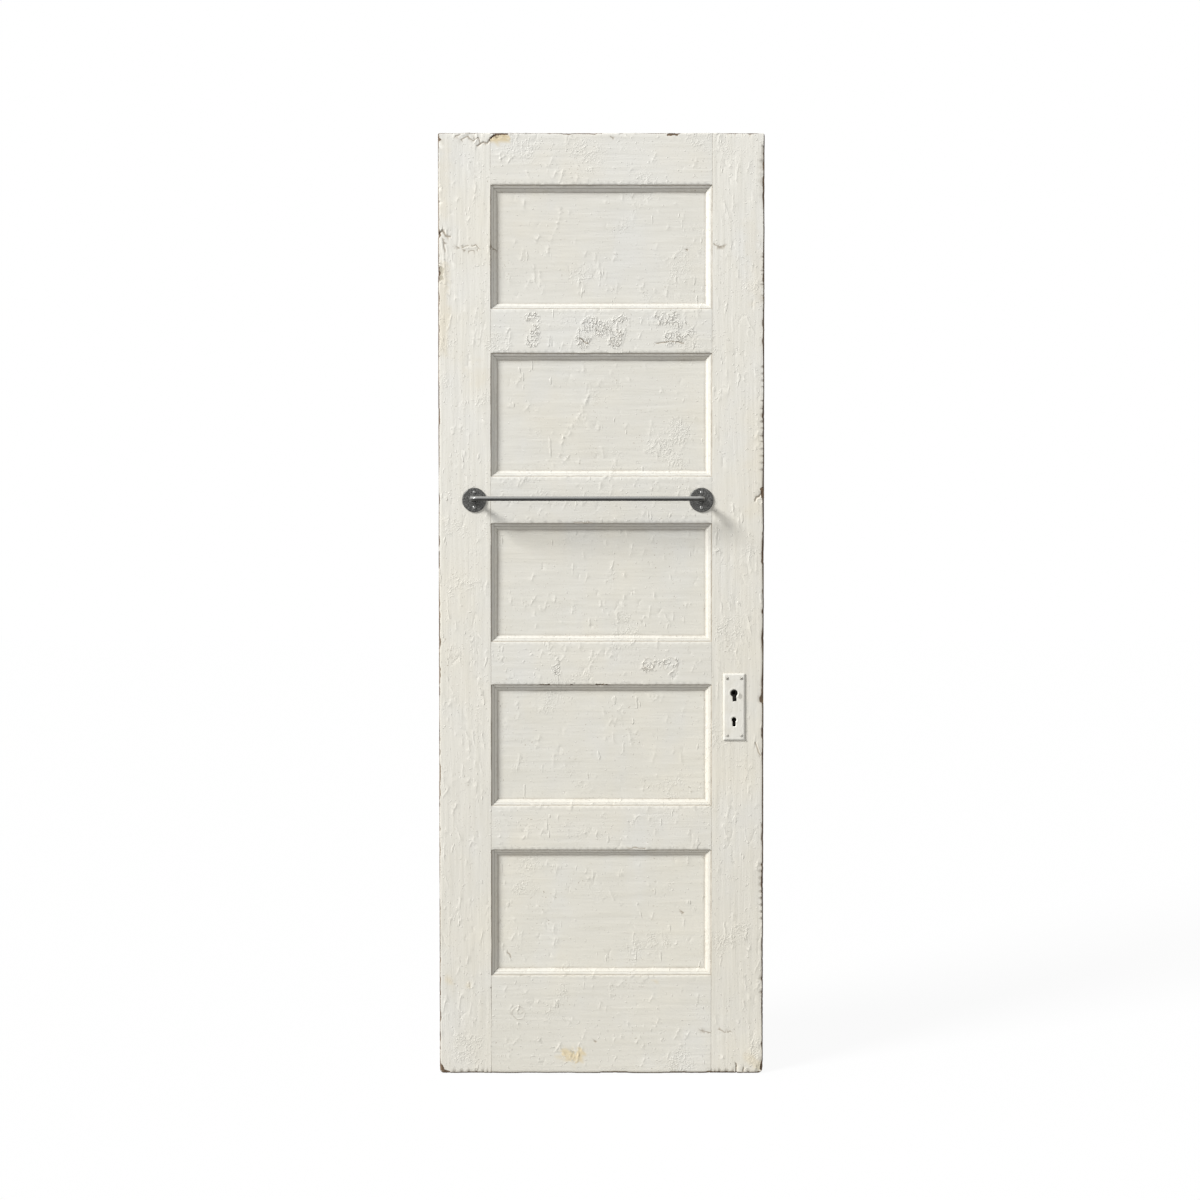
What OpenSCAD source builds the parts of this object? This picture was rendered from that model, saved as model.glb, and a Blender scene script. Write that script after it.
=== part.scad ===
// Old five-panel interior door leaf with an iron towel bar and a mortise lock.
// Frame: X across the leaf, the front face looks along -Y, Z is up, and the
// origin is the middle of the bottom edge. Millimetres.

/* [Leaf] */
// Width of the leaf
door_w = 711; // [610:1:864]
// Height of the leaf
door_h = 2057; // [1900:1:2500]
// Thickness of the stiles and rails
door_t = 35; // [32:0.5:44]

/* [Framing] */
// Face width of a stile, from the outer edge to the moulding
stile_w = 114; // [90:1:140]
// Face width of the top rail
top_rail_w = 112; // [90:1:140]
// Face width of the first cross rail, counted from the top
cross_rail_1_w = 96; // [80:1:125]
// Face width of the second cross rail
cross_rail_2_w = 102; // [80:1:125]
// Face width of the third cross rail
cross_rail_3_w = 94; // [80:1:125]
// Face width of the fourth cross rail
cross_rail_4_w = 97; // [80:1:125]
// Face width of the bottom rail
bottom_rail_w = 217; // [150:1:270]
// How much each opening differs from the mean opening, top to bottom
opening_trim = [1, 1, -9, -2, 9]; // [-20:1:20]
// Width of the moulding stuck on the edges around a panel
stick_w = 15; // [14:0.5:20]
// Step between the face and the moulding
quirk_d = 1.5; // [1:0.1:2.5]
// Depth of the groove that holds a panel
groove_d = 12; // [9:0.5:14]
// Hairline left in a coped joint
cope_gap = 0.1; // [0.05:0.05:0.3]

/* [Panels] */
// Thickness of a panel
panel_t = 13; // [8:0.5:14]
// Room on each face of a panel in its groove
panel_slip = 0.15; // [0.1:0.05:0.4]
// Room left for the panel to swell, at its sides and top
panel_swell = 1.5; // [0.5:0.5:3]

/* [Dowels] */
// Diameter of a joint dowel
dowel_d = 12; // [9:0.5:14]
// Length of a joint dowel
dowel_l = 116; // [80:1:130]
// From the edge of a rail to its dowels
dowel_inset = 26; // [20:1:34]
// From the edge of the bottom rail to its outer dowels
bottom_dowel_inset = 36; // [26:1:60]

/* [Hinge gains] */
// Height of a hinge leaf
gain_h = 89; // [76:1:102]
// Depth of a hinge gain
gain_d = 2.5; // [1.5:0.1:3.5]
// Wood left in front of a hinge gain
gain_stop = 6; // [4:0.5:10]
// From the top of the leaf to the middle of the upper gain
gain_from_top = 250; // [180:1:300]
// From the bottom of the leaf to the middle of the lower gain
gain_from_bottom = 324; // [250:1:380]
// Distance between the outer pilot holes of a gain
gain_pitch = 57; // [50:1:62]
// Diameter of a pilot hole
pilot_d = 3.5; // [2.5:0.1:4.5]
// Depth of a pilot hole
pilot_l = 25; // [15:1:32]
// From the stop of a gain to its outer pilot holes
pilot_set = 14; // [10:0.5:18]
// How much further back the middle pilot hole is
pilot_stagger = 6; // [0:0.5:9]

/* [Lock plates] */
// Width of a lock plate
plate_w = 48; // [40:1:60]
// Height of a lock plate
plate_h = 147; // [135:1:175]
// Thickness of a lock plate
plate_t = 3.5; // [2:0.1:4.5]
// Height of the middle of the lock plates above the bottom edge
lock_z = 808; // [760:1:840]
// From the lock edge of the leaf to the spindle
backset = 65; // [58:1:72]
// Height of the spindle above the middle of the lock plates
spindle_rise = 30; // [28:0.5:38]
// From the spindle down to the pin of the key
key_drop = 58; // [54:0.1:62]
// Diameter of the spindle opening's round part
lobe_d = 15.5; // [13:0.5:18]
// Width of the spindle opening's straight part
lobe_slot = 8.6; // [6:0.1:9]
// Height of the spindle opening
lobe_h = 25.4; // [22:0.1:30]
// Width of the round part of the keyhole
key_d = 10; // [8:0.1:11]
// Width of the straight part of the keyhole
key_slot = 6.8; // [5:0.1:7]
// Height of the keyhole
key_h = 19.6; // [17:0.1:22]
// Sideways pitch of the plate screws
plate_screw_x = 31; // [26:1:38]
// Upright pitch of the plate screws
plate_screw_z = 125; // [120:1:150]
// Diameter of a plate screw's shank
plate_screw_d = 3.5; // [3:0.1:4]

/* [Mortise lock] */
// Height of the lock case
case_h = 100; // [90:1:104]
// Depth of the lock case into the stile
case_w = 83; // [80:1:92]
// Thickness of the lock case with its cap
case_t = 16; // [14:0.5:18]
// Wall of the lock case
case_wall = 1.6; // [1.2:0.1:2]
// Height of the lock's face plate
face_h = 138; // [134:1:150]
// Width of the lock's face plate
face_w = 22; // [20:0.5:25]
// Thickness of the lock's face plate
face_t = 2.5; // [2:0.1:3]
// Side of the square spindle hole
spindle_hole = 8; // [7:0.1:9]
// Height of the dead bolt
bolt_h = 22; // [18:0.5:24]
// Thickness of the dead bolt
bolt_t = 9; // [7:0.5:10]
// Travel of the dead bolt
bolt_throw = 12; // [9:0.5:14]
// Room around a bolt where it slides
bolt_play = 0.3; // [0.2:0.05:0.5]

/* [Towel bar] */
// Distance between the middles of the two flanges
bar_pitch = 496; // [400:1:540]
// From the hinge edge of the leaf to the first flange
bar_inset = 78; // [60:1:90]
// Height of the bar above the middle of the second cross rail
bar_rise = 0; // [-10:0.5:10]
// Diameter of the rod
rod_d = 10; // [8:0.5:13]
// From the face of the leaf to the middle of the rod
bar_standoff = 48; // [38:1:60]
// Inside radius of the rod's elbows
elbow_r = 6; // [4:0.5:12]
// Diameter of a flange
flange_d = 53; // [44:1:64]
// Thickness of a flange
flange_t = 3.5; // [2.5:0.1:5]
// Diameter of a flange's collar
collar_d = 17; // [15:0.5:21]
// Height of a flange's collar above the leaf
collar_h = 9; // [7:0.5:14]
// Pitch of the two screws of a flange
flange_screw_pitch = 33; // [29:0.5:38]
// Diameter of a flange screw's shank
flange_screw_d = 4; // [3.5:0.1:4.5]

/* [Hidden] */
$fn = 48;

// What the pieces share, worked out from the sizes above.
edge_x = door_w / 2;
front_y = -door_t / 2;
arris_x = edge_x - stile_w;
rail_w = [top_rail_w, cross_rail_1_w, cross_rail_2_w, cross_rail_3_w,
          cross_rail_4_w, bottom_rail_w];
function total(list, count) = count < 1 ? 0 : list[count - 1] + total(list, count - 1);
mean_opening = (door_h - total(rail_w, 6)) / 5 - total(opening_trim, 5) / 5;
opening_h = [for (trim = opening_trim) mean_opening + trim];
function rail_top(i) = door_h - total(rail_w, i) - total(opening_h, i);
function rail_low(i) = rail_top(i) - rail_w[i];
function rail_mid(i) = rail_top(i) - rail_w[i] / 2;
last_rail = 5;

quirk_flat = 1;
groove_w = panel_t + 2 * panel_slip;
groove_floor = stick_w - groove_d;
tenon_shoulder = 1;
dowel_fit = 0.1;
blind = 2;

spindle_x = edge_x - backset;
spindle_z = lock_z + spindle_rise;
key_z = spindle_z - key_drop;
case_mid = (spindle_z + key_z) / 2;
case_front = edge_x - face_t;
case_back = case_front - case_w;
pocket_gap = 0.4;
bore_fit = 0.1;

bar_z = rail_mid(2) + bar_rise;
bar_left = -edge_x + bar_inset;
bar_right = bar_left + bar_pitch;
rod_y = front_y - bar_standoff;
bend_r = elbow_r + rod_d / 2;

wood_paint = [0.88, 0.86, 0.81];
panel_paint = [0.87, 0.85, 0.80];
bare_wood = [0.60, 0.45, 0.30];
plate_paint = [0.85, 0.83, 0.77];
iron = [0.23, 0.22, 0.21];
lock_iron = [0.36, 0.33, 0.30];
lock_brass = [0.62, 0.50, 0.28];

// ---- Framing ----

// Outline of a stile or rail across its grain: u from 0 to the moulding's
// end, v across the thickness. grow is the hairline of a coped end.
module stuck_section(face, grow = 0) {
    over = grow > 0 ? 1 : 0;
    half = door_t / 2 - quirk_d;
    slope = atan2(half - panel_t / 2, stick_w - quirk_flat);
    start = face + quirk_flat + grow * tan(slope / 2);
    end = face + stick_w + grow;
    foot = panel_t / 2 + grow * tan(45 - slope / 2);
    translate([-over, front_y - over]) square([face + over + grow, door_t + 2 * over]);
    polygon([[0, -half - grow], [start, -half - grow], [end, -foot],
             [end, foot], [start, half + grow], [0, half + grow]]);
}

// The groove that a stuck edge carries for the panel.
module groove_section(face) {
    translate([face + groove_floor, -groove_w / 2]) square([groove_d + 1, groove_w]);
}

function dowel_heights(i) = i == last_rail
    ? [for (k = [-1, 0, 1]) rail_mid(i) + k * (rail_w[i] / 2 - bottom_dowel_inset)]
    : [rail_low(i) + dowel_inset, rail_top(i) - dowel_inset];

// Dowels, or their holes when they are grown, at one side of the leaf.
module side_dowels(side, grow = 0, longer = 0) {
    for (i = [0:last_rail], z = dowel_heights(i))
        translate([side * arris_x, 0, z]) rotate([0, 90, 0])
            cylinder(d = dowel_d + grow, h = dowel_l + longer, center = true);
}

module stile_blank() {
    linear_extrude(height = door_h) difference() {
        stuck_section(stile_w);
        groove_section(stile_w);
    }
}

module hinge_gain(z) {
    translate([-edge_x - 1, front_y + gain_stop, z - gain_h / 2])
        cube([gain_d + 1, door_t, gain_h]);
    for (k = [-1, 0, 1])
        translate([-edge_x - 1, front_y + gain_stop + pilot_set + pilot_stagger * (1 - abs(k)),
                   z + k * gain_pitch / 2])
            rotate([0, 90, 0]) cylinder(d = pilot_d, h = gain_d + pilot_l + 1);
}

// Screw holes of the two flanges: one flange reaches from a rail to a stile.
module flange_screw_holes() {
    for (x = [bar_left, bar_right], k = [-1, 1])
        translate([x, front_y - 1, bar_z + k * flange_screw_pitch / 2]) rotate([-90, 0, 0])
            cylinder(d = flange_screw_d + bore_fit, h = flange_screw_l + 2);
}

module hinge_stile() {
    color(wood_paint) difference() {
        translate([-edge_x, 0, 0]) stile_blank();
        side_dowels(-1, dowel_fit, 2 * blind);
        hinge_gain(door_h - gain_from_top);
        hinge_gain(gain_from_bottom);
        flange_screw_holes();
    }
}

module lock_stile() {
    color(wood_paint) difference() {
        translate([edge_x, 0, 0]) mirror([1, 0, 0]) stile_blank();
        side_dowels(1, dowel_fit, 2 * blind);
        flange_screw_holes();
        lock_pocket();
    }
}

// A rail: stuck where it meets a panel, coped over the stiles' moulding, with
// a stub tenon in each stile's groove.
module rail(i) {
    top = rail_top(i);
    low = rail_low(i);
    w = rail_w[i];
    tenon_root = arris_x - stick_w - 2;
    tenon_end = arris_x - groove_floor - panel_swell;
    color(wood_paint) difference() {
        union() {
            difference() {
                rotate([0, -90, 0]) linear_extrude(height = 2 * arris_x, center = true) {
                    if (i > 0) translate([low, 0]) stuck_section(w);
                    else translate([low, front_y]) square([w, door_t]);
                    if (i < last_rail) translate([top, 0]) mirror([1, 0]) stuck_section(w);
                }
                for (side = [0, 1]) mirror([side, 0, 0]) translate([-edge_x, 0, low - 2 * stick_w])
                    linear_extrude(height = w + 4 * stick_w) stuck_section(stile_w, cope_gap);
            }
            for (side = [0, 1]) mirror([side, 0, 0])
                translate([tenon_root, -panel_t / 2, low + tenon_shoulder])
                    cube([tenon_end - tenon_root, panel_t, w - 2 * tenon_shoulder]);
        }
        rotate([0, -90, 0]) linear_extrude(height = 2 * edge_x, center = true) {
            if (i > 0) translate([low, 0]) groove_section(w);
            if (i < last_rail) translate([top, 0]) mirror([1, 0]) groove_section(w);
        }
        for (side = [-1, 1]) side_dowels(side, dowel_fit, 2 * blind);
        if (i == 2) flange_screw_holes();
    }
}

// A flat panel, standing on the floor of the groove below it.
module panel(i) {
    half_w = arris_x - groove_floor - panel_swell;
    low = rail_top(i + 1) + groove_floor;
    high = rail_low(i) - groove_floor - panel_swell;
    color(panel_paint) translate([-half_w, -panel_t / 2, low])
        cube([2 * half_w, panel_t, high - low]);
}

module dowels(side) {
    color(bare_wood) side_dowels(side);
}

// ---- Lock plates ----

plate_bevel = plate_t * 0.45;
plate_screw_l = 13;
head_d = 2 * plate_screw_d + 0.6;
head_h = 1.8;
slot_w = 1;
screw_tip = 0.6;

// Keyhole outline about its round part, the straight part hanging below.
module keyhole(round_d, slot, height, grow = 0) {
    circle(d = round_d + 2 * grow, $fn = 40);
    translate([-slot / 2 - grow, round_d / 2 - height - grow])
        square([slot + 2 * grow, height - round_d / 2 + grow]);
}

module key_opening(grow = 0) { keyhole(key_d, key_slot, key_h, grow); }

// The spindle opening leans a little, as its worn lower end does.
module spindle_opening(grow = 0) { rotate(5) keyhole(lobe_d, lobe_slot, lobe_h, grow); }

// Section of a plate so long, its front chamfered, its back on y = 0.
module chamfered_section(length) {
    half = length / 2;
    polygon([[-half, 0], [-half, -plate_t + plate_bevel], [-half + 2 * plate_bevel, -plate_t],
             [half - 2 * plate_bevel, -plate_t], [half, -plate_t + plate_bevel], [half, 0]]);
}

// A plain plate with its chamfered front towards -Y and its back on the plane
// y = 0. It closes the lock at the back of the leaf.
module blank_plate() {
    color(plate_paint) difference() {
        intersection() {
            linear_extrude(height = plate_h, center = true) chamfered_section(plate_w);
            rotate([0, 90, 0]) linear_extrude(height = plate_w, center = true)
                chamfered_section(plate_h);
        }
        at_plate_corners() translate([0, 1, 0]) rotate([90, 0, 0])
            cylinder(d = plate_screw_d + bore_fit, h = plate_t + 2);
    }
}

// The plate at the front, open for the spindle and the key.
module lock_plate() {
    color(plate_paint) difference() {
        blank_plate();
        translate([0, 1, 0]) rotate([90, 0, 0]) linear_extrude(height = plate_t + 2) {
            translate([0, spindle_rise]) spindle_opening();
            translate([0, spindle_rise - key_drop]) key_opening();
        }
    }
}

module at_plate_corners() {
    for (kx = [-1, 1], kz = [-1, 1])
        translate([kx * plate_screw_x / 2, 0, kz * plate_screw_z / 2]) children();
}

// A slotted oval-head wood screw, head on the plane y = 0 and pointing to +Y.
module slotted_screw(shank_d, shank_l, width, dome, slot_turn = 0) {
    difference() {
        union() {
            rotate([-90, 0, 0]) cylinder(d = shank_d, h = shank_l - shank_d);
            translate([0, shank_l - shank_d, 0]) rotate([-90, 0, 0])
                cylinder(d1 = shank_d, d2 = screw_tip, h = shank_d);
            intersection() {
                translate([0, ball_back(width, dome), 0]) sphere(r = ball_r(width, dome));
                translate([0, -dome, 0]) rotate([-90, 0, 0]) cylinder(d = 2 * width, h = dome);
            }
        }
        rotate([0, slot_turn, 0]) translate([-width, -dome - 1, -slot_w / 2])
            cube([2 * width, 1 + dome * 0.55, slot_w]);
    }
}

// Radius of the ball whose cap is so wide and so high, and how far back it sits.
function ball_r(width, dome) = (width * width / 4 + dome * dome) / (2 * dome);
function ball_back(width, dome) = ball_r(width, dome) - dome;

module plate_screws(slot_turn) {
    color(plate_paint) at_plate_corners() translate([0, -plate_t, 0])
        slotted_screw(plate_screw_d, plate_screw_l, head_d, head_h, slot_turn);
}

module at_front_plate() { translate([spindle_x, front_y, lock_z]) children(); }
module at_back_plate() { mirror([0, 1, 0]) at_front_plate() children(); }

// ---- Mortise lock ----

inner_t = case_t - 2 * case_wall;
bolt_z = key_z + key_d / 2 + 4 + bolt_h / 2;
latch_h = 16;
latch_t = bolt_t;
latch_head_l = 17;
latch_z = spindle_z + 8;
hub_r = 11;
trunnion_r = 7;
horn_l = 2.8;
hook_t = 3;
face_screw_z = face_h - 12;
face_screw_d = 3.5;
face_screw_l = 22;
sink_in = 0.3;
sink_h = face_t - 2 * sink_in;

// What is cut out of the lock stile: the pocket, the face plate's recess, the
// ways for spindle and key, and the screw holes.
module lock_pocket() {
    translate([case_back - pocket_gap, -case_t / 2 - pocket_gap, case_mid - case_h / 2 - pocket_gap])
        cube([case_w + face_t + pocket_gap + 1, case_t + 2 * pocket_gap, case_h + 2 * pocket_gap]);
    translate([edge_x - face_t, -face_w / 2, case_mid - face_h / 2])
        cube([face_t + 1, face_w, face_h]);
    translate([spindle_x, -door_t, spindle_z]) rotate([-90, 0, 0])
        cylinder(r = hub_r + 1, h = 2 * door_t);
    translate([spindle_x, door_t, 0]) rotate([90, 0, 0]) linear_extrude(height = 2 * door_t) {
        translate([0, spindle_z]) spindle_opening(1);
        translate([0, key_z]) key_opening(1);
    }
    for (side = [0, 1]) mirror([0, side, 0]) translate([spindle_x, front_y - 1, lock_z])
        at_plate_corners() rotate([-90, 0, 0])
            cylinder(d = plate_screw_d + bore_fit, h = plate_screw_l - plate_t + 2);
    at_face_screws(1) cylinder(d = face_screw_d + bore_fit, h = face_screw_l + 2);
}

// The face plate's screws point into the stile, from so far outside its edge.
module at_face_screws(outside) {
    for (k = [-1, 1])
        translate([edge_x + outside, 0, case_mid + k * face_screw_z / 2]) rotate([0, -90, 0]) children();
}

// The way of a bolt through the face plate and the end of the case.
module bolt_window(z, height, thick) {
    reach = face_t + 2 * case_wall;
    translate([edge_x - reach, -thick / 2 - bolt_play, z - height / 2 - bolt_play])
        cube([2 * reach, thick + 2 * bolt_play, height + 2 * bolt_play]);
}

// Ways for the hub's trunnions and the key through case and cap.
module lock_side_holes() {
    translate([spindle_x, case_t, spindle_z]) rotate([90, 0, 0])
        cylinder(r = trunnion_r + bore_fit / 2, h = 2 * case_t);
    translate([spindle_x, case_t, key_z]) rotate([90, 0, 0])
        linear_extrude(height = 2 * case_t) key_opening(0.5);
}

stump_d = 5;
stump_x = case_back + 20;
spring_span = 13;
post_d = 4;
spring_gap = 0.1;
post_x = edge_x - latch_head_l - spring_span - post_d / 2 - 2 * spring_gap;
post_z = latch_z - 4;
boss_d = 8;
boss_x = case_back + 9;
boss_z = case_mid - case_h / 2 + 9;
cap_screw_d = 3;

// The case is a cast tray, open to the front, with a stump for the dead bolt,
// a post for the latch spring and a boss for the cap's screw.
module lock_case() {
    color(lock_iron) difference() {
        union() {
            difference() {
                translate([case_back, -case_t / 2 + case_wall, case_mid - case_h / 2])
                    cube([case_w, case_t - case_wall, case_h]);
                translate([case_back + case_wall, -case_t, case_mid - case_h / 2 + case_wall])
                    cube([case_w - 2 * case_wall, 1.5 * case_t - case_wall, case_h - 2 * case_wall]);
            }
            for (pin = [[stump_x, bolt_z, stump_d], [boss_x, boss_z, boss_d], [post_x, post_z, post_d]])
                translate([pin[0], -inner_t / 2, pin[1]]) rotate([-90, 0, 0])
                    cylinder(d = pin[2], h = inner_t + case_wall / 2);
        }
        bolt_window(bolt_z, bolt_h, bolt_t);
        bolt_window(latch_z, latch_h, latch_t);
        lock_side_holes();
        translate([boss_x, -case_t / 2, boss_z]) rotate([-90, 0, 0])
            cylinder(d = cap_screw_d + bore_fit, h = case_t - case_wall);
    }
}

module lock_cap() {
    color(lock_iron) difference() {
        translate([case_back, -case_t / 2, case_mid - case_h / 2]) cube([case_w, case_wall, case_h]);
        lock_side_holes();
        translate([boss_x, -case_t, boss_z]) rotate([-90, 0, 0])
            cylinder(d = cap_screw_d + bore_fit, h = case_t);
        translate([boss_x, -case_t / 2 - 1, boss_z]) rotate([-90, 0, 0])
            cylinder(d = 2 * cap_screw_d + bore_fit, h = 1 + case_wall / 2);
    }
}

module lock_cap_screw() {
    color(lock_iron) translate([boss_x, -case_t / 2, boss_z]) rotate([-90, 0, 0]) difference() {
        union() {
            cylinder(d = 2 * cap_screw_d, h = case_wall / 2);
            cylinder(d = cap_screw_d, h = case_t - 3 * case_wall);
        }
        translate([-cap_screw_d - 1, -0.4, -1]) cube([2 * cap_screw_d + 2, 0.8, 1.4]);
    }
}

module lock_face_plate() {
    color(lock_brass) difference() {
        translate([edge_x - face_t, -face_w / 2 + pocket_gap / 2, case_mid - face_h / 2 + pocket_gap / 2])
            cube([face_t, face_w - pocket_gap, face_h - pocket_gap]);
        bolt_window(bolt_z, bolt_h, bolt_t);
        bolt_window(latch_z, latch_h, latch_t);
        at_face_screws(1) {
            cylinder(d = face_screw_d + bore_fit, h = face_t + 2);
            cylinder(d = head_d + bore_fit, h = 1 + sink_in);
            translate([0, 0, 1 + sink_in])
                cylinder(d1 = head_d + bore_fit, d2 = face_screw_d + bore_fit, h = sink_h);
        }
    }
}

// Countersunk, flush with the face plate.
module face_plate_screws() {
    color(lock_brass) at_face_screws(-sink_in) difference() {
        union() {
            cylinder(d1 = head_d, d2 = face_screw_d, h = sink_h);
            cylinder(d = face_screw_d, h = face_screw_l - face_screw_d);
            translate([0, 0, face_screw_l - face_screw_d])
                cylinder(d1 = face_screw_d, d2 = screw_tip, h = face_screw_d);
        }
        rotate(35) translate([-head_d, -slot_w / 2, -1]) cube([2 * head_d, slot_w, 1.8]);
    }
}

// The hub turns on two trunnions; its horn draws the latch bolt back.
module spindle_hub() {
    hub_t = inner_t - 2 * bolt_play;
    color(lock_iron) translate([spindle_x, 0, spindle_z]) rotate([90, 0, 0]) difference() {
        union() {
            cylinder(r = hub_r, h = hub_t, center = true);
            cylinder(r = trunnion_r, h = case_t, center = true);
            translate([-hub_r - horn_l, -3, -hub_t / 4]) cube([hub_r + horn_l, 6, hub_t / 2]);
        }
        cube([spindle_hole, spindle_hole, 2 * case_t], center = true);
    }
}

latch_tail_z = spindle_z + hub_r + 1.5;
latch_top = latch_z + latch_h / 2;

// The latch bolt stands drawn in, its bevelled nose level with the face plate.
// Its tail runs over the hub and drops behind the hub's horn.
module latch_bolt() {
    hook_x = spindle_x - hub_r - horn_l - bolt_play - hook_t;
    hook_low = spindle_z - 4;
    color(lock_brass) {
        translate([edge_x, 0, latch_z - latch_h / 2]) linear_extrude(height = latch_h)
            polygon([[-latch_head_l, -latch_t / 2], [-latch_head_l / 2, -latch_t / 2],
                     [0, latch_t / 2 - 1.5], [0, latch_t / 2], [-latch_head_l, latch_t / 2]]);
        translate([hook_x, -latch_t / 4, latch_tail_z])
            cube([edge_x - latch_head_l - hook_x + 1, latch_t / 2, latch_top - latch_tail_z]);
        translate([hook_x, -latch_t / 4, hook_low])
            cube([hook_t, latch_t / 2, latch_top - hook_low]);
    }
}

// A bent flat spring, pressed between the latch bolt's head and a post.
module latch_spring() {
    right = edge_x - latch_head_l - spring_gap;
    left = right - spring_span;
    high = latch_z - 2;
    t = 0.8;
    color(lock_iron) rotate([90, 0, 0]) linear_extrude(height = 5, center = true)
        polygon([[right, high], [right - t, high], [(left + right) / 2, high - 16],
                 [left + t, high - 2], [left, high - 2],
                 [(left + right) / 2, high - 18.5], [right, high - 1]]);
}

// The dead bolt stands drawn in. The key's bit turns in the notch below, and
// the tail's slot runs on the case's stump.
module dead_bolt() {
    tail_t = bolt_t / 2;
    tail_x = case_back + case_wall + 1;
    bolt_head_l = bolt_throw + 14;
    slot_l = bolt_throw + stump_d + 2 * bolt_play;
    talon_w = bolt_throw + 2;
    color(lock_brass) difference() {
        union() {
            translate([edge_x - bolt_head_l, -bolt_t / 2, bolt_z - bolt_h / 2])
                cube([bolt_head_l, bolt_t, bolt_h]);
            translate([tail_x, -tail_t / 2, bolt_z - bolt_h / 2])
                cube([edge_x - bolt_head_l + 1 - tail_x, tail_t, bolt_h]);
        }
        translate([spindle_x - talon_w + 5, -bolt_t, bolt_z - bolt_h / 2 - 1])
            cube([talon_w, 2 * bolt_t, 6]);
        translate([stump_x - bolt_throw - stump_d / 2 - bolt_play, -bolt_t,
                   bolt_z - stump_d / 2 - bolt_play])
            cube([slot_l, 2 * bolt_t, stump_d + 2 * bolt_play]);
    }
}

// A flat spring lies on the dead bolt's back and holds it where the key left it.
module dead_bolt_spring() {
    top = bolt_z + bolt_h / 2 + bolt_play;
    left = case_back + case_wall;
    color(lock_iron) rotate([90, 0, 0]) linear_extrude(height = 4, center = true)
        polygon([[left, top + 4], [left + 1, top + 4], [left + 12, top + 0.8],
                 [left + 26, top], [left + 34, top + 2], [left + 34, top + 3],
                 [left + 26, top + 1], [left + 12, top + 1.8], [left + 1, top + 5], [left, top + 5]]);
}

// ---- Towel bar ----

flange_screw_l = 14;
flange_head_d = 8;
flange_head_h = 2.9;

// One round bar: a long run, an elbow at each end, and two posts that end in
// the flanges' collars.
module towel_rod() {
    run = bar_pitch - 2 * bend_r;
    color(iron) {
        translate([bar_left + bend_r, rod_y, bar_z]) rotate([0, 90, 0]) cylinder(d = rod_d, h = run);
        for (side = [0, 1]) translate([side * (bar_left + bar_right), 0, 0]) mirror([side, 0, 0]) {
            translate([bar_left + bend_r, rod_y + bend_r, bar_z]) rotate([0, 0, 180])
                rotate_extrude(angle = 90, $fn = 64) translate([bend_r, 0]) circle(d = rod_d);
            translate([bar_left, rod_y + bend_r, bar_z]) rotate([-90, 0, 0])
                cylinder(d = rod_d, h = bar_standoff - bend_r);
        }
    }
}

// A flange turned from a disc: a rounded rim and a raised collar for the rod.
module flange(x) {
    rim = flange_t * 0.4;
    color(iron) translate([x, front_y, bar_z]) rotate([90, 0, 0]) difference() {
        rotate_extrude($fn = 96) {
            r = flange_d / 2;
            polygon([[rod_d / 2 + bore_fit / 2, 0], [r, 0], [r, flange_t - rim], [r - rim, flange_t],
                     [collar_d / 2 + 2, flange_t], [collar_d / 2, flange_t + 1.5],
                     [collar_d / 2, collar_h - 1], [collar_d / 2 - 1, collar_h],
                     [rod_d / 2 + bore_fit / 2, collar_h]]);
        }
        for (k = [-1, 1]) translate([0, k * flange_screw_pitch / 2, -1])
            cylinder(d = flange_screw_d + bore_fit, h = flange_t + 2);
    }
}

module flange_screws(x, turn) {
    color(iron) for (k = [-1, 1]) translate([x, front_y - flange_t, bar_z + k * flange_screw_pitch / 2])
        slotted_screw(flange_screw_d, flange_screw_l, flange_head_d, flange_head_h, turn * k);
}

hinge_stile();
lock_stile();
rail(0);  // top_rail
rail(1);  // cross_rail_1
rail(2);  // cross_rail_2
rail(3);  // cross_rail_3
rail(4);  // cross_rail_4
rail(last_rail);  // bottom_rail
panel(0);  // panel_1
panel(1);  // panel_2
panel(2);  // panel_3
panel(3);  // panel_4
panel(4);  // panel_5
dowels(-1);  // dowels_hinge_side
dowels(1);  // dowels_lock_side
at_front_plate() lock_plate();  // front_lock_plate
at_front_plate() plate_screws(40);  // front_plate_screws
at_back_plate() blank_plate();  // back_lock_plate
at_back_plate() plate_screws(-25);  // back_plate_screws
lock_case();
lock_cap();
lock_cap_screw();
lock_face_plate();
face_plate_screws();
spindle_hub();
latch_bolt();
latch_spring();
dead_bolt();
dead_bolt_spring();
towel_rod();
flange(bar_left);  // left_flange
flange(bar_right);  // right_flange
flange_screws(bar_left, 35);  // left_flange_screws
flange_screws(bar_right, 20);  // right_flange_screws
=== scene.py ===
from itertools import product
from math import radians

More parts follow.
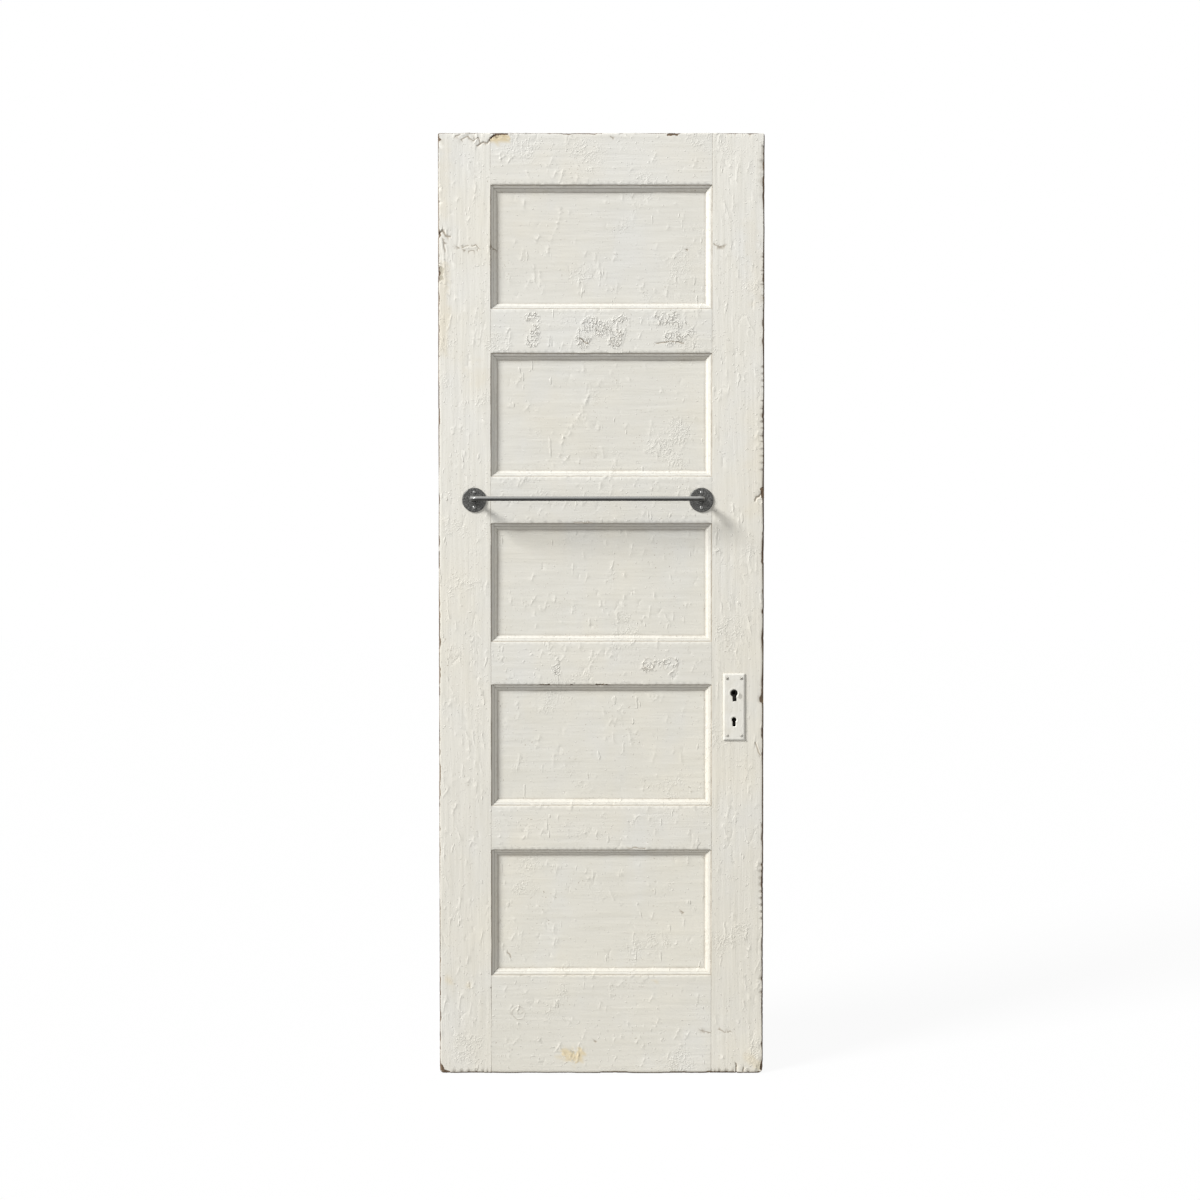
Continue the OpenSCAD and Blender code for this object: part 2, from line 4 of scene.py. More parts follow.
import bmesh
import bpy
import numpy as np
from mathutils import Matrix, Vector


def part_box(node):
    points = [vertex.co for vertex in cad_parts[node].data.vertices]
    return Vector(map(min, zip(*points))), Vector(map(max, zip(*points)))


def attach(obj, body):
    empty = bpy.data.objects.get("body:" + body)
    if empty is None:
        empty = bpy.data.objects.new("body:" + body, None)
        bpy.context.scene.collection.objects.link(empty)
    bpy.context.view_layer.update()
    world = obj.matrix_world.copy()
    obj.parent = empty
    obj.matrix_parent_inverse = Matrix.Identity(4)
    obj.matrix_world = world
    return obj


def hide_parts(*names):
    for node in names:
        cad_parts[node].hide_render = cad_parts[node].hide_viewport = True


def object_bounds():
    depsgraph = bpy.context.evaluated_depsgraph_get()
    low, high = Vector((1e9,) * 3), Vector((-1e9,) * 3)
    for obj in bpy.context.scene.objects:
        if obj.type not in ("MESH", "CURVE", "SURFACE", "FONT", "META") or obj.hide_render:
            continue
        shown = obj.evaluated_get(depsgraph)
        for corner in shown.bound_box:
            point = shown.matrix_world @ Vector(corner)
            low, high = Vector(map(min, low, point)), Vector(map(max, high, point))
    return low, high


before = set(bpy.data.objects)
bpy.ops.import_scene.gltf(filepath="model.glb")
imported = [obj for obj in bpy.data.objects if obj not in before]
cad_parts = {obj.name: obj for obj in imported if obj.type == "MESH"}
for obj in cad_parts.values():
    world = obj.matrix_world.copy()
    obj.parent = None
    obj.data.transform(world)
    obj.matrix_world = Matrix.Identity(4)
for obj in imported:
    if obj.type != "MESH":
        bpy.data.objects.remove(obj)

cad_box = [list(corner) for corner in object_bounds()]
scene = bpy.context.scene

# ---- Camera and studio ----
# The leaf stands upright on a pale floor in front of a white room. One soft
# key lamp comes from the upper left, and the room fills the shadows.

camera_lens = bpy.data.cameras.new("camera")
camera_lens.sensor_width = 36
camera_lens.lens = 39.8
camera = bpy.data.objects.new("camera", camera_lens)
camera.location = (-0.0029, -2.9175, 1.0935)
camera.rotation_euler = (radians(90 - 1.02), 0, 0)
scene.collection.objects.link(camera)
scene.camera = camera
scene.view_settings.view_transform = "Standard"


def add_node(tree, kind, inputs=None, **settings):
    made = tree.nodes.new(kind)
    for name, value in settings.items():
        setattr(made, name, value)
    for socket, value in (inputs or {}).items():
        if isinstance(value, bpy.types.NodeSocket):
            tree.links.new(value, made.inputs[socket])
        else:
            made.inputs[socket].default_value = value
    return made


def calc(tree, operation, *values):
    return add_node(tree, "ShaderNodeMath", dict(enumerate(values)), operation=operation).outputs[0]


def seen_directly(tree):
    """1 for what the camera, a reflection or glass sees, and 0 for light that falls on things."""
    path = add_node(tree, "ShaderNodeLightPath").outputs
    seen = calc(tree, "MAXIMUM", path["Is Camera Ray"], path["Is Glossy Ray"])
    return calc(tree, "MAXIMUM", seen, path["Is Transmission Ray"])


room_fill = 0.45
world = bpy.data.worlds.new("white_room")
scene.world = world
world.use_nodes = True
tree = world.node_tree
tree.nodes.clear()
fill = add_node(tree, "ShaderNodeBackground", {"Color": (1, 1, 1, 1), "Strength": room_fill})
wall = add_node(tree, "ShaderNodeBackground", {"Color": (1, 1, 1, 1), "Strength": 1.0})
mixed = add_node(tree, "ShaderNodeMixShader",
                 {0: seen_directly(tree), 1: fill.outputs[0], 2: wall.outputs[0]})
add_node(tree, "ShaderNodeOutputWorld", {"Surface": mixed.outputs[0]})

key_lamp = bpy.data.lights.new("key_lamp", "SUN")
key_lamp.energy = 4.1
key_lamp.angle = radians(16)
key = bpy.data.objects.new("key_lamp", key_lamp)
key.rotation_euler = Vector((1.78, 1.0, -1.46)).to_track_quat("-Z", "Y").to_euler()
scene.collection.objects.link(key)

floor_half = 20
floor_mesh = bpy.data.meshes.new("floor")
floor_mesh.from_pydata([(x * floor_half, y * floor_half, 0) for x, y in
                        ((-1, -1), (1, -1), (1, 1), (-1, 1))], [], [(0, 1, 2, 3)])
floor = bpy.data.objects.new("floor", floor_mesh)
scene.collection.objects.link(floor)
floor_paint = bpy.data.materials.new("floor_paint")
floor_paint.use_nodes = True
tree = floor_paint.node_tree
tree.nodes.clear()
seen = seen_directly(tree)
shade = add_node(tree, "ShaderNodeMix", {0: seen, 6: (0.38, 0.38, 0.38, 1), 7: (0.8, 0.8, 0.8, 1)},
                 data_type="RGBA")
matt = add_node(tree, "ShaderNodeBsdfDiffuse", {"Color": shade.outputs[2]})
glow = add_node(tree, "ShaderNodeEmission", {"Color": (1, 1, 1, 1), "Strength": 1.0})
mixed = add_node(tree, "ShaderNodeMixShader",
                 {0: calc(tree, "MULTIPLY", seen, 0.93), 1: matt.outputs[0], 2: glow.outputs[0]})
add_node(tree, "ShaderNodeOutputMaterial", {"Surface": mixed.outputs[0]})
floor_mesh.materials.append(floor_paint)

# ---- Stiles ----
# The two upright members of the leaf, softwood planks with the panel moulding
# run along their inner edge. They carry many coats of oil paint, brushed on
# lengthways, which has chipped back to the wood along the outer arrises.

leaf_half, leaf_front, leaf_top = cad_box[1][0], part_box("hinge_stile")[1][1], cad_box[1][2]
panel_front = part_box("panel_1")[1][1]
arris, outer_width = 0.2415, 0.1
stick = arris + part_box("hinge_stile")[1].x
panel_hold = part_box("panel_1")[1].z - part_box("top_rail")[0].z


def noise(points, cell, seed=0):
    """Smooth random values from -1 to 1. cell is the size of its grain, one number or three."""
    spot = points / np.asarray(cell, float) + 100.0
    corner = np.floor(spot).astype(np.int64)
    part = spot - corner
    part = part * part * (3 - 2 * part)
    total = np.zeros(len(points))
    for step in product((0, 1), repeat=3):
        at = corner + step
        mix = (at[:, 0] * 374761393 + at[:, 1] * 668265263 + at[:, 2] * 2147483647
               + seed * 1274126177) & 0xFFFFFFFF
        mix = ((mix ^ (mix >> 13)) * 1274126177) & 0xFFFFFFFF
        mix = mix ^ (mix >> 16)
        weight = np.prod(np.where(np.array(step) == 1, part, 1 - part), axis=1)
        total += weight * ((mix & 0xFFFF) / 32767.5 - 1)
    return total


def fade(value, low, high):
    t = np.clip((value - low) / (high - low), 0, 1)
    return t * t * (3 - 2 * t)


def size_of(vectors):
    return np.linalg.norm(vectors, axis=1)


def off_line(points, line):
    """How far points are, in the plane of the leaf, from a line through (x, z) places in mm."""
    flat = points[:, [0, 2]]
    places = np.array(line, float) / 1000
    if len(places) == 1:
        return size_of(flat - places[0])
    best = np.full(len(points), 9.0)
    for start, end in zip(places, places[1:]):
        run = end - start
        share = np.clip((flat - start) @ run / (run @ run), 0, 1)
        best = np.minimum(best, size_of(flat - start - share[:, None] * run))
    return best


def cut_shape(node, cells):
    """A CAD node's own shape as points and triangles, cut on a grid of those cells."""
    bm = bmesh.new()
    bm.from_mesh(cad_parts[node].data)
    bmesh.ops.remove_doubles(bm, verts=bm.verts, dist=1e-6)
    bmesh.ops.dissolve_limit(bm, angle_limit=0.01, verts=bm.verts, edges=bm.edges)
    low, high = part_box(node)
    for axis, cell in enumerate(cells):
        count = int(round((high[axis] - low[axis]) / cell))
        for k in range(1, count):
            place, way = Vector(low), Vector((0, 0, 0))
            place[axis] = low[axis] + (high[axis] - low[axis]) * k / count
            way[axis] = 1
            bmesh.ops.bisect_plane(bm, geom=bm.verts[:] + bm.edges[:] + bm.faces[:],
                                   plane_co=place, plane_no=way, dist=1e-6)
    bmesh.ops.triangulate(bm, faces=bm.faces)
    bm.verts.index_update()
    points = np.array([v.co for v in bm.verts], float)
    triangles = np.array([[v.index for v in f.verts] for f in bm.faces])
    bm.free()
    return points, triangles


def split_long(points, triangles, wanted, rounds=6):
    """Halves the sides that are longer than wanted(their middle), again and again."""
    for _ in range(rounds):
        ends = np.sort(triangles[:, [0, 1, 1, 2, 2, 0]].reshape(-1, 2), axis=1)
        sides, which = np.unique(ends[:, 0] * len(points) + ends[:, 1], return_inverse=True)
        a, b = points[sides // len(points)], points[sides % len(points)]
        middle = (a + b) / 2
        long = size_of(a - b) > wanted(middle)
        if not long.any():
            break
        number = np.full(len(sides), -1)
        number[long] = len(points) + np.arange(long.sum())
        points = np.vstack([points, middle[long]])
        new = number[which].reshape(-1, 3)
        count = (new >= 0).sum(axis=1)
        turn = np.where(count == 1, np.argmax(new >= 0, axis=1),
                        np.where(count == 2, np.argmin(new >= 0, axis=1) + 1, 0))
        order = (np.arange(3) + turn[:, None]) % 3
        triangles = np.take_along_axis(triangles, order, 1)
        new = np.take_along_axis(new, order, 1)
        (a, b, c), (p, q, r) = triangles.T, new.T
        whole, one, two, three = (count == k for k in range(4))
        near = two.copy()
        near[two] = (size_of(points[a[two]] - points[q[two]])
                     < size_of(points[p[two]] - points[c[two]]))
        far = two & ~near
        pieces = ((whole, (a, b, c)), (one, (a, p, c)), (one, (p, b, c)), (two, (p, b, q)),
                  (near, (a, p, q)), (near, (a, q, c)), (far, (a, p, c)), (far, (p, q, c)),
                  (three, (a, p, r)), (three, (p, b, q)), (three, (r, q, c)), (three, (p, q, r)))
        triangles = np.vstack([np.stack(corners, axis=1)[mask] for mask, corners in pieces])
    return points, triangles


def gather(values, index, size):
    return np.stack([np.bincount(index, values[:, k], size) for k in range(values.shape[1])], axis=1)


def point_normals(points, triangles):
    """Unit normals, and for each point how sharp the shape is there: 0 on a flat."""
    a, b, c = (points[triangles[:, k]] for k in range(3))
    face = np.cross(b - a, c - a)
    size = np.linalg.norm(face, axis=1, keepdims=True) + 1e-15
    index = triangles.T.ravel()
    total = gather(np.tile(face, (3, 1)), index, len(points))
    share = gather(np.tile(size, (3, 1)), index, len(points))
    length = np.linalg.norm(total, axis=1, keepdims=True)
    return total / (length + 1e-15), 1 - (length / (share + 1e-15))[:, 0]


def soften(points, triangles, where, most=0.0005, passes=2):
    """Rounds the arrises, and fills the corners, that where allows."""
    for _ in range(passes):
        sharp = point_normals(points, triangles)[1]
        ends = triangles[:, [0, 1, 1, 2, 2, 0]].reshape(-1, 2)
        total = gather(points[ends[:, 1]], ends[:, 0], len(points))
        total += gather(points[ends[:, 0]], ends[:, 1], len(points))
        count = np.bincount(ends.ravel(), minlength=len(points))[:, None]
        pull = (total / count - points) * (np.clip(sharp * 4, 0, 1) * where)[:, None]
        size = np.linalg.norm(pull, axis=1, keepdims=True) + 1e-12
        points = points + pull * np.minimum(1, most / size)
    return points


def mark_reach(kind, size):
    return size / 1000 * (1.25 if kind in ("ring", "flake", "craze", "stain") else 2.5)


def in_box(points, line, reach):
    """Which points on the front are inside the box of a mark's line, made bigger by reach."""
    places = np.array(line, float) / 1000
    (left, low), (right, high) = places.min(axis=0) - reach, places.max(axis=0) + reach
    x, y, z = points.T
    return np.flatnonzero((y < 0) & (x > left) & (x < right) & (z > low) & (z < high))


fine_cell, mark_cell = 0.0017, 0.0026


def mark_cells(points, marks):
    """How long a side may be at each point, so that the relief of its marks shows."""
    cell = np.full(len(points), 1.0)
    for kind, line, size, _ in marks:
        if kind == "stain":
            continue
        near = in_box(points, line, mark_reach(kind, size))
        near = near[off_line(points[near], line) < mark_reach(kind, size)]
        cell[near] = np.minimum(cell[near], fine_cell if kind in ("crack", "ring") else mark_cell)
    return cell


def deepen(fields, name, amount, where=slice(None)):
    """Raises a field to that amount where it is less."""
    fields[name][where] = np.maximum(fields[name][where], amount)


paint_depth = -0.0004


def torn_amount(inside):
    """The value of a torn field that far inside the edge of the hole: 0.5 at the edge itself."""
    return np.minimum(0.5 + inside / 0.004, 1.5)


def apply_marks(points, marks, rise, fields):
    """Adds to the rise of the surface, and to its fields, what each mark on the front does.
    A mark is (kind, line in mm, size in mm, height in mm). A stain's height is its strength."""
    bend = np.stack([noise(points, 0.006, 71), 0 * rise, noise(points, 0.006, 72)], axis=1)
    wobble = points + 0.0012 * bend
    for number, (kind, line, size, height) in enumerate(marks):
        near = in_box(points, line, mark_reach(kind, size) + 0.002)
        size, height = size / 1000, height / 1000
        if not len(near):
            continue
        spot = wobble[near]
        away = off_line(spot, line)
        if kind in ("ridge", "crack"):
            shape = np.exp(-(away / size) ** 2)
            rise[near] += height * shape * (1 + 0.5 * noise(spot, 0.008, number))
            if kind == "crack":
                deepen(fields, "grime", shape, near)
        elif kind == "ring":
            shape = np.exp(-((away - size) / 0.0011) ** 2) * (0.6 + 0.6 * noise(spot, 0.01, number))
            rise[near] += height * shape
            deepen(fields, "grime", 0.4 * shape, near)
        elif kind == "craze":
            inside = fade(1 - away / size + 0.3 * noise(spot, 0.02, number), 0, 0.5)
            bend = np.stack([noise(spot, 0.02, 5), 0 * away, noise(spot, 0.02, 6)], axis=1)
            bent = spot + 0.006 * bend
            curl = (1 - np.abs(noise(bent, (0.011, 1, 0.016), 9))) ** 7
            curl += 0.6 * (1 - np.abs(noise(bent, (0.006, 1, 0.009), 11))) ** 5
            rise[near] += 0.3 * height * inside * curl
            deepen(fields, "craze", inside, near)
        else:
            field = 1 - away / size + 0.5 * noise(spot, size * 0.6, number)
            field += 0.35 * noise(spot, 0.003, 7)
            if kind == "stain":
                deepen(fields, "stain", 1000 * height * fade(field, 0, 0.6), near)
                continue
            edge = 0.0009 / size
            rise[near] += height * fade(field, 0, edge) + 0.00025 * np.exp(-(field / edge + 1) ** 2)
            layer = "bare" if height < paint_depth else "undercoat"
            deepen(fields, layer, torn_amount(field * size), near)


def distances(points):
    """How far points are from the leaf's sides, its two faces, and its foot or head."""
    return (leaf_half - np.abs(points[:, 0]), leaf_front - np.abs(points[:, 1]),
            np.minimum(points[:, 2], leaf_top - points[:, 2]))


def edge_wear(points, chips, seed):
    """How wide the bare strip along each outer arris is, less each point's distance from it."""
    side, face, end = distances(points)
    back = points[:, 1] > 0
    far = np.sign(points[:, 0]) * 3 + back * 7
    run = np.stack([far, 0 * far, points[:, 2]], axis=1)
    width = 0.0015 + 0.0013 * (points[:, 0] > 0) + 0.0009 * noise(run, (1, 1, 0.05), seed)
    width += 0.0035 * np.clip(noise(run, (1, 1, 0.011), seed + 1) - 0.45, 0, 1)
    width += 0.0060 * np.clip(noise(run, (1, 1, 0.026), seed + 2) - 0.6, 0, 1)
    for low, high, depth in chips:
        mid, half = (low + high) / 2000, (high - low) / 2000
        bump = np.sqrt(np.clip(1 - ((points[:, 2] - mid) / half) ** 2, 0, 1))
        ragged = 0.75 + 0.35 * noise(run, (1, 1, 0.005), seed + 3)
        width = np.maximum(width, ~back * depth / 1000 * bump * ragged)
    wear = width - np.maximum(side, face)
    run = np.stack([points[:, 0], far, points[:, 2] > 1], axis=1)
    width = 0.0006 + 0.0024 * (points[:, 2] < 1) + 0.0014 * noise(run, (0.04, 1, 1), seed + 4)
    width += 0.005 * np.clip(noise(run, (0.014, 1, 1), seed + 5) - 0.5, 0, 1)
    wear = np.maximum(wear, width - np.maximum(end, face))
    return np.maximum(wear, 0.0012 + 0.001 * noise(points, 0.006, seed) - np.maximum(side, end))


paint_film, wear_slope, arris_radius = 0.00035, 0.28, 0.0016


def wear_down(points, wear):
    """Moves the bare strips in: a step of one paint film, then a slope down to the arris."""
    depth = paint_film * fade(wear, 0, 0.0007) + wear_slope * np.clip(wear, 0, 1)
    depth += 0.00022 * noise(points, (0.003, 0.003, 0.02), 31) * fade(wear, 0, 0.001)
    corner = np.array([leaf_half, leaf_front, leaf_top / 2])
    middle = np.array([0, 0, leaf_top / 2])
    offset = points - middle
    inside = np.clip(offset, arris_radius - corner, corner - arris_radius)
    away = offset - inside
    size = np.linalg.norm(away, axis=1, keepdims=True)
    direction = away / (size + 1e-12)
    rounded = np.where(size > 0, inside + direction * np.minimum(size, arris_radius), offset)
    return middle + rounded - direction * np.clip(depth, 0, 1)[:, None]


# (side of the leaf, 0 at the foot and 1 at the head): radius
corner_radii = {(-1, 0): 0.012, (1, 0): 0.015, (-1, 1): 0.004, (1, 1): 0.007}


def wear_corners(points):
    """Rounds the four corners of the leaf, the lower ones more."""
    for (across, level), radius in corner_radii.items():
        up = 2 * level - 1
        middle = np.array([across * (leaf_half - radius), level * leaf_top - up * radius])
        offset = points[:, [0, 2]] - middle
        size = size_of(offset)
        beyond = (offset[:, 0] * across > 0) & (offset[:, 1] * up > 0) & (size > radius)
        points[np.ix_(beyond, [0, 2])] = middle + offset[beyond] * (radius / size[beyond])[:, None]
    return points


def add_piece(name, points, triangles, fields, finish, material_slot, nodes, body="leaf", crease=50):
    """Makes the mesh object of a piece, which stands for its CAD nodes and rides on their body."""
    mesh = bpy.data.meshes.new(name)
    mesh.from_pydata(points.tolist(), [], triangles.tolist())
    for field, values in fields.items():
        layer = mesh.attributes.new(field, "FLOAT", "POINT")
        layer.data.foreach_set("value", values.astype(np.float32))
    mesh.shade_smooth()
    mesh.set_sharp_from_angle(angle=radians(crease))
    mesh.materials.append(finish)
    piece = bpy.data.objects.new(name, mesh)
    scene.collection.objects.link(piece)
    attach(piece, body)
    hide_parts(*nodes)
    return piece


def small_marks(seed, count, low, high, length, lean):
    """Short runs and nibs left in the paint, at random places between two corners in mm."""
    luck = np.random.default_rng(seed)
    marks = []
    for _ in range(count):
        x, z = luck.uniform(low[0], high[0]), luck.uniform(low[1], high[1])
        run = length * luck.uniform(0.15, 1) ** 2
        tilt = radians(lean + luck.normal(0, 14))
        end = (x + run * np.sin(tilt), z + run * np.cos(tilt))
        size = luck.uniform(1.0, 1.8)
        marks.append(("ridge", [(x, z), end], size, luck.choice((0.62, 0.5, 0.38, -0.4))))
    return marks


def chain(seed, line, step, height):
    """A line of small drops and nibs, as a scratch leaves when it is painted over."""
    luck = np.random.default_rng(seed)
    marks = []
    for start, end in zip(line, line[1:]):
        start, run = np.array(start, float), np.array(end, float) - start
        pitch = step / np.linalg.norm(run)
        for share in np.arange(0, 1, pitch):
            x, z = start + (share + luck.uniform(0, 0.5) * pitch) * run + luck.normal(0, 0.8, 2)
            across = luck.normal(0, 2.0)
            marks.append(("ridge", [(x, z), (x + across, z - luck.uniform(1, 6))],
                          luck.uniform(0.9, 1.6), height * luck.uniform(0.5, 1.4)))
    return marks


paint_fields = ("bare", "undercoat", "grime", "stain", "craze", "recess")


def painted_member(name, cells, marks, chips, seed, coarse=0.015, rough=0.00018):
    """A wooden member of the leaf, refined, worn at its arrises and marked on its front."""
    points, triangles = cut_shape(name, cells)
    recess = leaf_front - panel_front

    def wanted(middle):
        side, face, end = distances(middle)
        front = middle[:, 1] < 0
        size = np.where(front, coarse, 1.3 * coarse)
        moulded = (face > 0.0004) & (face < recess) & (side > outer_width)
        size = np.where(moulded, 0.009, size)
        at_arris = np.maximum(np.minimum(side, end), face) < 0.005
        size = np.where(at_arris, np.where(front, 0.0042, 0.008), size)
        size = np.where((side < 0.018) & (end < 0.018), 0.0025, size)
        return np.minimum(size, mark_cells(middle, marks))

    points, triangles = split_long(points, triangles, wanted)
    normal = point_normals(points, triangles)[0]
    side, face, _ = distances(points)
    across = np.abs(points[:, 0])
    seam = (np.abs(across - arris) < 0.0008) & (face < 0.0005)
    fields = {field: np.full(len(points), -12.0 if field in ("bare", "undercoat") else 0.0)
              for field in paint_fields}
    rise = rough * noise(points, 0.045, seed) + rough * 1.5 * noise(points, 0.16, seed + 1)
    rise *= 1 - fade(across, arris - 0.003, arris) * (1 - fade(across, arris, arris + 0.003))
    apply_marks(points, marks, rise, fields)
    wear = edge_wear(points, chips, seed)
    deepen(fields, "bare", torn_amount(wear))
    fields["recess"] = np.clip(face / recess, 0, 1) * (side > outer_width)
    # Darker along the leaf's foot: a painted contact shadow, with dirt.
    foot = 1 - fade(points[:, 2], 0.0010, 0.0060)
    deepen(fields, "grime", foot * (0.60 + 0.25 * noise(points, 0.02, seed + 5)))
    worn = fade(wear, -0.0006, 0.0004) * (points[:, 0] > 0)
    deepen(fields, "grime", worn * (0.58 + 0.28 * noise(points, (1, 1, 0.03), seed + 6)))
    low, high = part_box(name)
    # The rails' lower mouldings, which face down, are darkened: painted shade.
    if "rail" in name:
        under = (points[:, 2] < low.z + stick) & (fields["recess"] > 0.02)
        deepen(fields, "grime", 0.20 * under)
    # Darker in the corners at the moulding's foot and round each panel's border: painted shade, with
    # dirt.
    nook = fade(face, recess - 0.0030, recess) * (face < recess + 0.0006)
    if name.startswith("panel"):
        border = np.minimum(points[:, 2] - low.z, high.z - points[:, 2]) - panel_hold
        nook = 1 - fade(np.minimum(arris - stick - across, border), -0.001, 0.004)
    deepen(fields, "grime", nook * (0.32 + 0.30 * noise(points, 0.03, seed + 2)))
    points = wear_down(soften(points, triangles, ~seam), wear) + normal * rise[:, None]
    return wear_corners(points), triangles, fields


def new_group(name, inputs, outputs):
    """A shader node group: its tree, the place on the object, all that comes in, what goes out."""
    tree = bpy.data.node_groups.new(name, "ShaderNodeTree")
    tree.interface.new_socket("Vector", in_out="INPUT", socket_type="NodeSocketVector")
    for label, value in inputs.items():
        kind = "NodeSocketColor" if isinstance(value, tuple) else "NodeSocketFloat"
        tree.interface.new_socket(label, in_out="INPUT", socket_type=kind).default_value = value
    for label in outputs:
        kind = "NodeSocketColor" if label == "Color" else "NodeSocketFloat"
        tree.interface.new_socket(label, in_out="OUTPUT", socket_type=kind)
    come, go = tree.nodes.new("NodeGroupInput").outputs, tree.nodes.new("NodeGroupOutput").inputs
    return tree, come["Vector"], come, go


def place(tree, group, spot, **inputs):
    """Puts a node group in a material and gives it its inputs."""
    return add_node(tree, "ShaderNodeGroup", {"Vector": spot, **inputs}, node_tree=group).outputs


def wire(tree, sockets, values):
    for socket, value in values.items():
        tree.links.new(value, sockets[socket])


def chained(operation):
    """The same sum on one value after another, from the left."""
    def work_out(tree, first, *others):
        for other in others:
            first = calc(tree, operation, first, other)
        return first
    return work_out


plus, minus, times = chained("ADD"), chained("SUBTRACT"), chained("MULTIPLY")


def grain(tree, vector, scale, detail=2.0, roughness=0.5):
    return add_node(tree, "ShaderNodeTexNoise", {"Vector": vector, "Scale": scale, "Detail": detail,
                                                 "Roughness": roughness}).outputs["Fac"]


def sway(tree, vector, scale, reach):
    """Smooth random values about 0."""
    return times(tree, minus(tree, grain(tree, vector, scale), 0.5), reach)


def between(tree, value, low, high):
    """0 up to low, 1 from high, and smooth between."""
    return add_node(tree, "ShaderNodeMapRange", {"Value": value, "From Min": low, "From Max": high},
                    interpolation_type="SMOOTHSTEP").outputs["Result"]


def tint(tree, share, first, second, blend="MIX"):
    return add_node(tree, "ShaderNodeMix", {0: share, 6: first, 7: second}, data_type="RGBA",
                    blend_type=blend).outputs[2]


def stretch(tree, vector, scale):
    return add_node(tree, "ShaderNodeMapping", {"Vector": vector, "Scale": scale}).outputs[0]


def relief(tree, height):
    inputs = {"Strength": 1.0, "Distance": 1.0, "Height": height}
    return add_node(tree, "ShaderNodeBump", inputs).outputs[0]


def new_finish(name, gloss=None):
    """A material: itself, its tree, its Principled shader and the place on the object."""
    made = bpy.data.materials.new(name)
    made.use_nodes = True
    tree = made.node_tree
    skin = tree.nodes["Principled BSDF"]
    if gloss is not None:
        skin.inputs["Specular IOR Level"].default_value = gloss
    return made, tree, skin, add_node(tree, "ShaderNodeTexCoord").outputs["Object"]


def read_fields(tree, names):
    return {name: add_node(tree, "ShaderNodeAttribute", attribute_name=name).outputs["Fac"]
            for name in names}


tree, spot, come, go = new_group("brush_strokes", {"Across": 420.0}, ("Height", "Streak"))
brush_strokes = tree
fine = grain(tree, spot, come["Across"], 3.0, 0.6)
broad = grain(tree, spot, times(tree, come["Across"], 0.24))
wire(tree, go, {"Height": plus(tree, times(tree, fine, 0.00022), times(tree, broad, 0.00070)),
                "Streak": broad})

tree, spot, come, go = new_group("paint_nibs", {"Amount": 0.5}, ("Height",))
paint_nibs = tree
limit = minus(tree, 0.80, times(tree, come["Amount"], 0.20))
limit_top = plus(tree, limit, 0.05)
nib = between(tree, grain(tree, spot, 150.0, 1.0), limit, limit_top)
drawn = stretch(tree, spot, (1, 1, 0.3))
run = between(tree, grain(tree, drawn, 75.0), limit, limit_top)
pit = between(tree, grain(tree, spot, 260.0, 1.0), 0.72, 0.76)
raised = plus(tree, times(tree, nib, 0.0005), times(tree, run, 0.0006))
wire(tree, go, {"Height": minus(tree, raised, times(tree, pit, 0.0003))})

# Lifted, curled paint in patches: its relief, and darker lines along the curls, which are dirt in the
# cracks and painted shade under the lifted edges.
tree, spot, come, go = new_group("lifted_paint", {"Amount": 0.0}, ("Height", "Dirt_and_shade"))
lifted_paint = tree
bend = add_node(tree, "ShaderNodeTexNoise", {"Vector": spot, "Scale": 60.0}).outputs["Color"]
bend = add_node(tree, "ShaderNodeVectorMath", {0: bend, 1: (0.010, 0.010, 0.010)},
                operation="MULTIPLY").outputs[0]
bent = add_node(tree, "ShaderNodeVectorMath", {0: spot, 1: bend}, operation="ADD").outputs[0]
patch = between(tree, grain(tree, spot, 9.0, 3.0), 0.54, 0.70)
amount = calc(tree, "MAXIMUM", come["Amount"], times(tree, patch, 0.40))
curls = []
for scale, sharpness in ((100.0, 12.0), (190.0, 8.0)):
    wave = minus(tree, times(tree, grain(tree, bent, scale, 1.0), 2.0), 1.0)
    curls.append(calc(tree, "POWER", minus(tree, 1.0, calc(tree, "ABSOLUTE", wave)), sharpness))
sparse = between(tree, grain(tree, bent, 50.0, 1.0), 0.34, 0.50)
curl = times(tree, plus(tree, curls[0], times(tree, curls[1], 0.6)), sparse, amount)
wire(tree, go, {"Height": times(tree, curl, 0.0013),
                "Dirt_and_shade": times(tree, between(tree, curl, 0.4, 1.0), 0.25)})

# Along each moulding: dark lines at its quirk, its fold and its foot, which are painted shade of the
# profile's steps and crease, with dirt; and a bead in the relief.
tree, spot, come, go = new_group("moulded_edge", {"Depth": 0.0}, ("Height", "Dirt_and_shade"))
moulded_edge = tree
depth = plus(tree, come["Depth"], sway(tree, spot, 30.0, 0.08))
on_it = times(tree, between(tree, come["Depth"], 0.005, 0.03),
              minus(tree, 1.0, between(tree, come["Depth"], 0.97, 0.995)))
quirk = minus(tree, between(tree, depth, 0.02, 0.08), between(tree, depth, 0.14, 0.22))
bead = times(tree, between(tree, depth, 0.10, 0.46),
             minus(tree, 1.0, between(tree, depth, 0.46, 0.54)))
fold = minus(tree, between(tree, depth, 0.44, 0.48), between(tree, depth, 0.50, 0.58))
foot = between(tree, depth, 0.86, 0.98)
lines = plus(tree, times(tree, quirk, 0.55), times(tree, fold, 0.16), times(tree, foot, 0.22))
wire(tree, go, {"Dirt_and_shade": times(tree, lines, on_it), "Height": times(tree, bead, on_it, 0.0016)})

tree, spot, come, go = new_group("age_stains", {}, ("Warm", "Cool", "Specks"))
age_stains = tree
squat = stretch(tree, spot, (1.3, 1, 0.8))
fleck = between(tree, grain(tree, spot, 240.0, 1.0), 0.70, 0.76)
spread = between(tree, grain(tree, spot, 11.0), 0.45, 0.65)
wire(tree, go, {"Warm": between(tree, grain(tree, spot, 4.0, 4.0, 0.6), 0.45, 0.72),
                "Cool": between(tree, grain(tree, squat, 6.0, 3.0, 0.55), 0.48, 0.72),
                "Specks": times(tree, fleck, spread)})

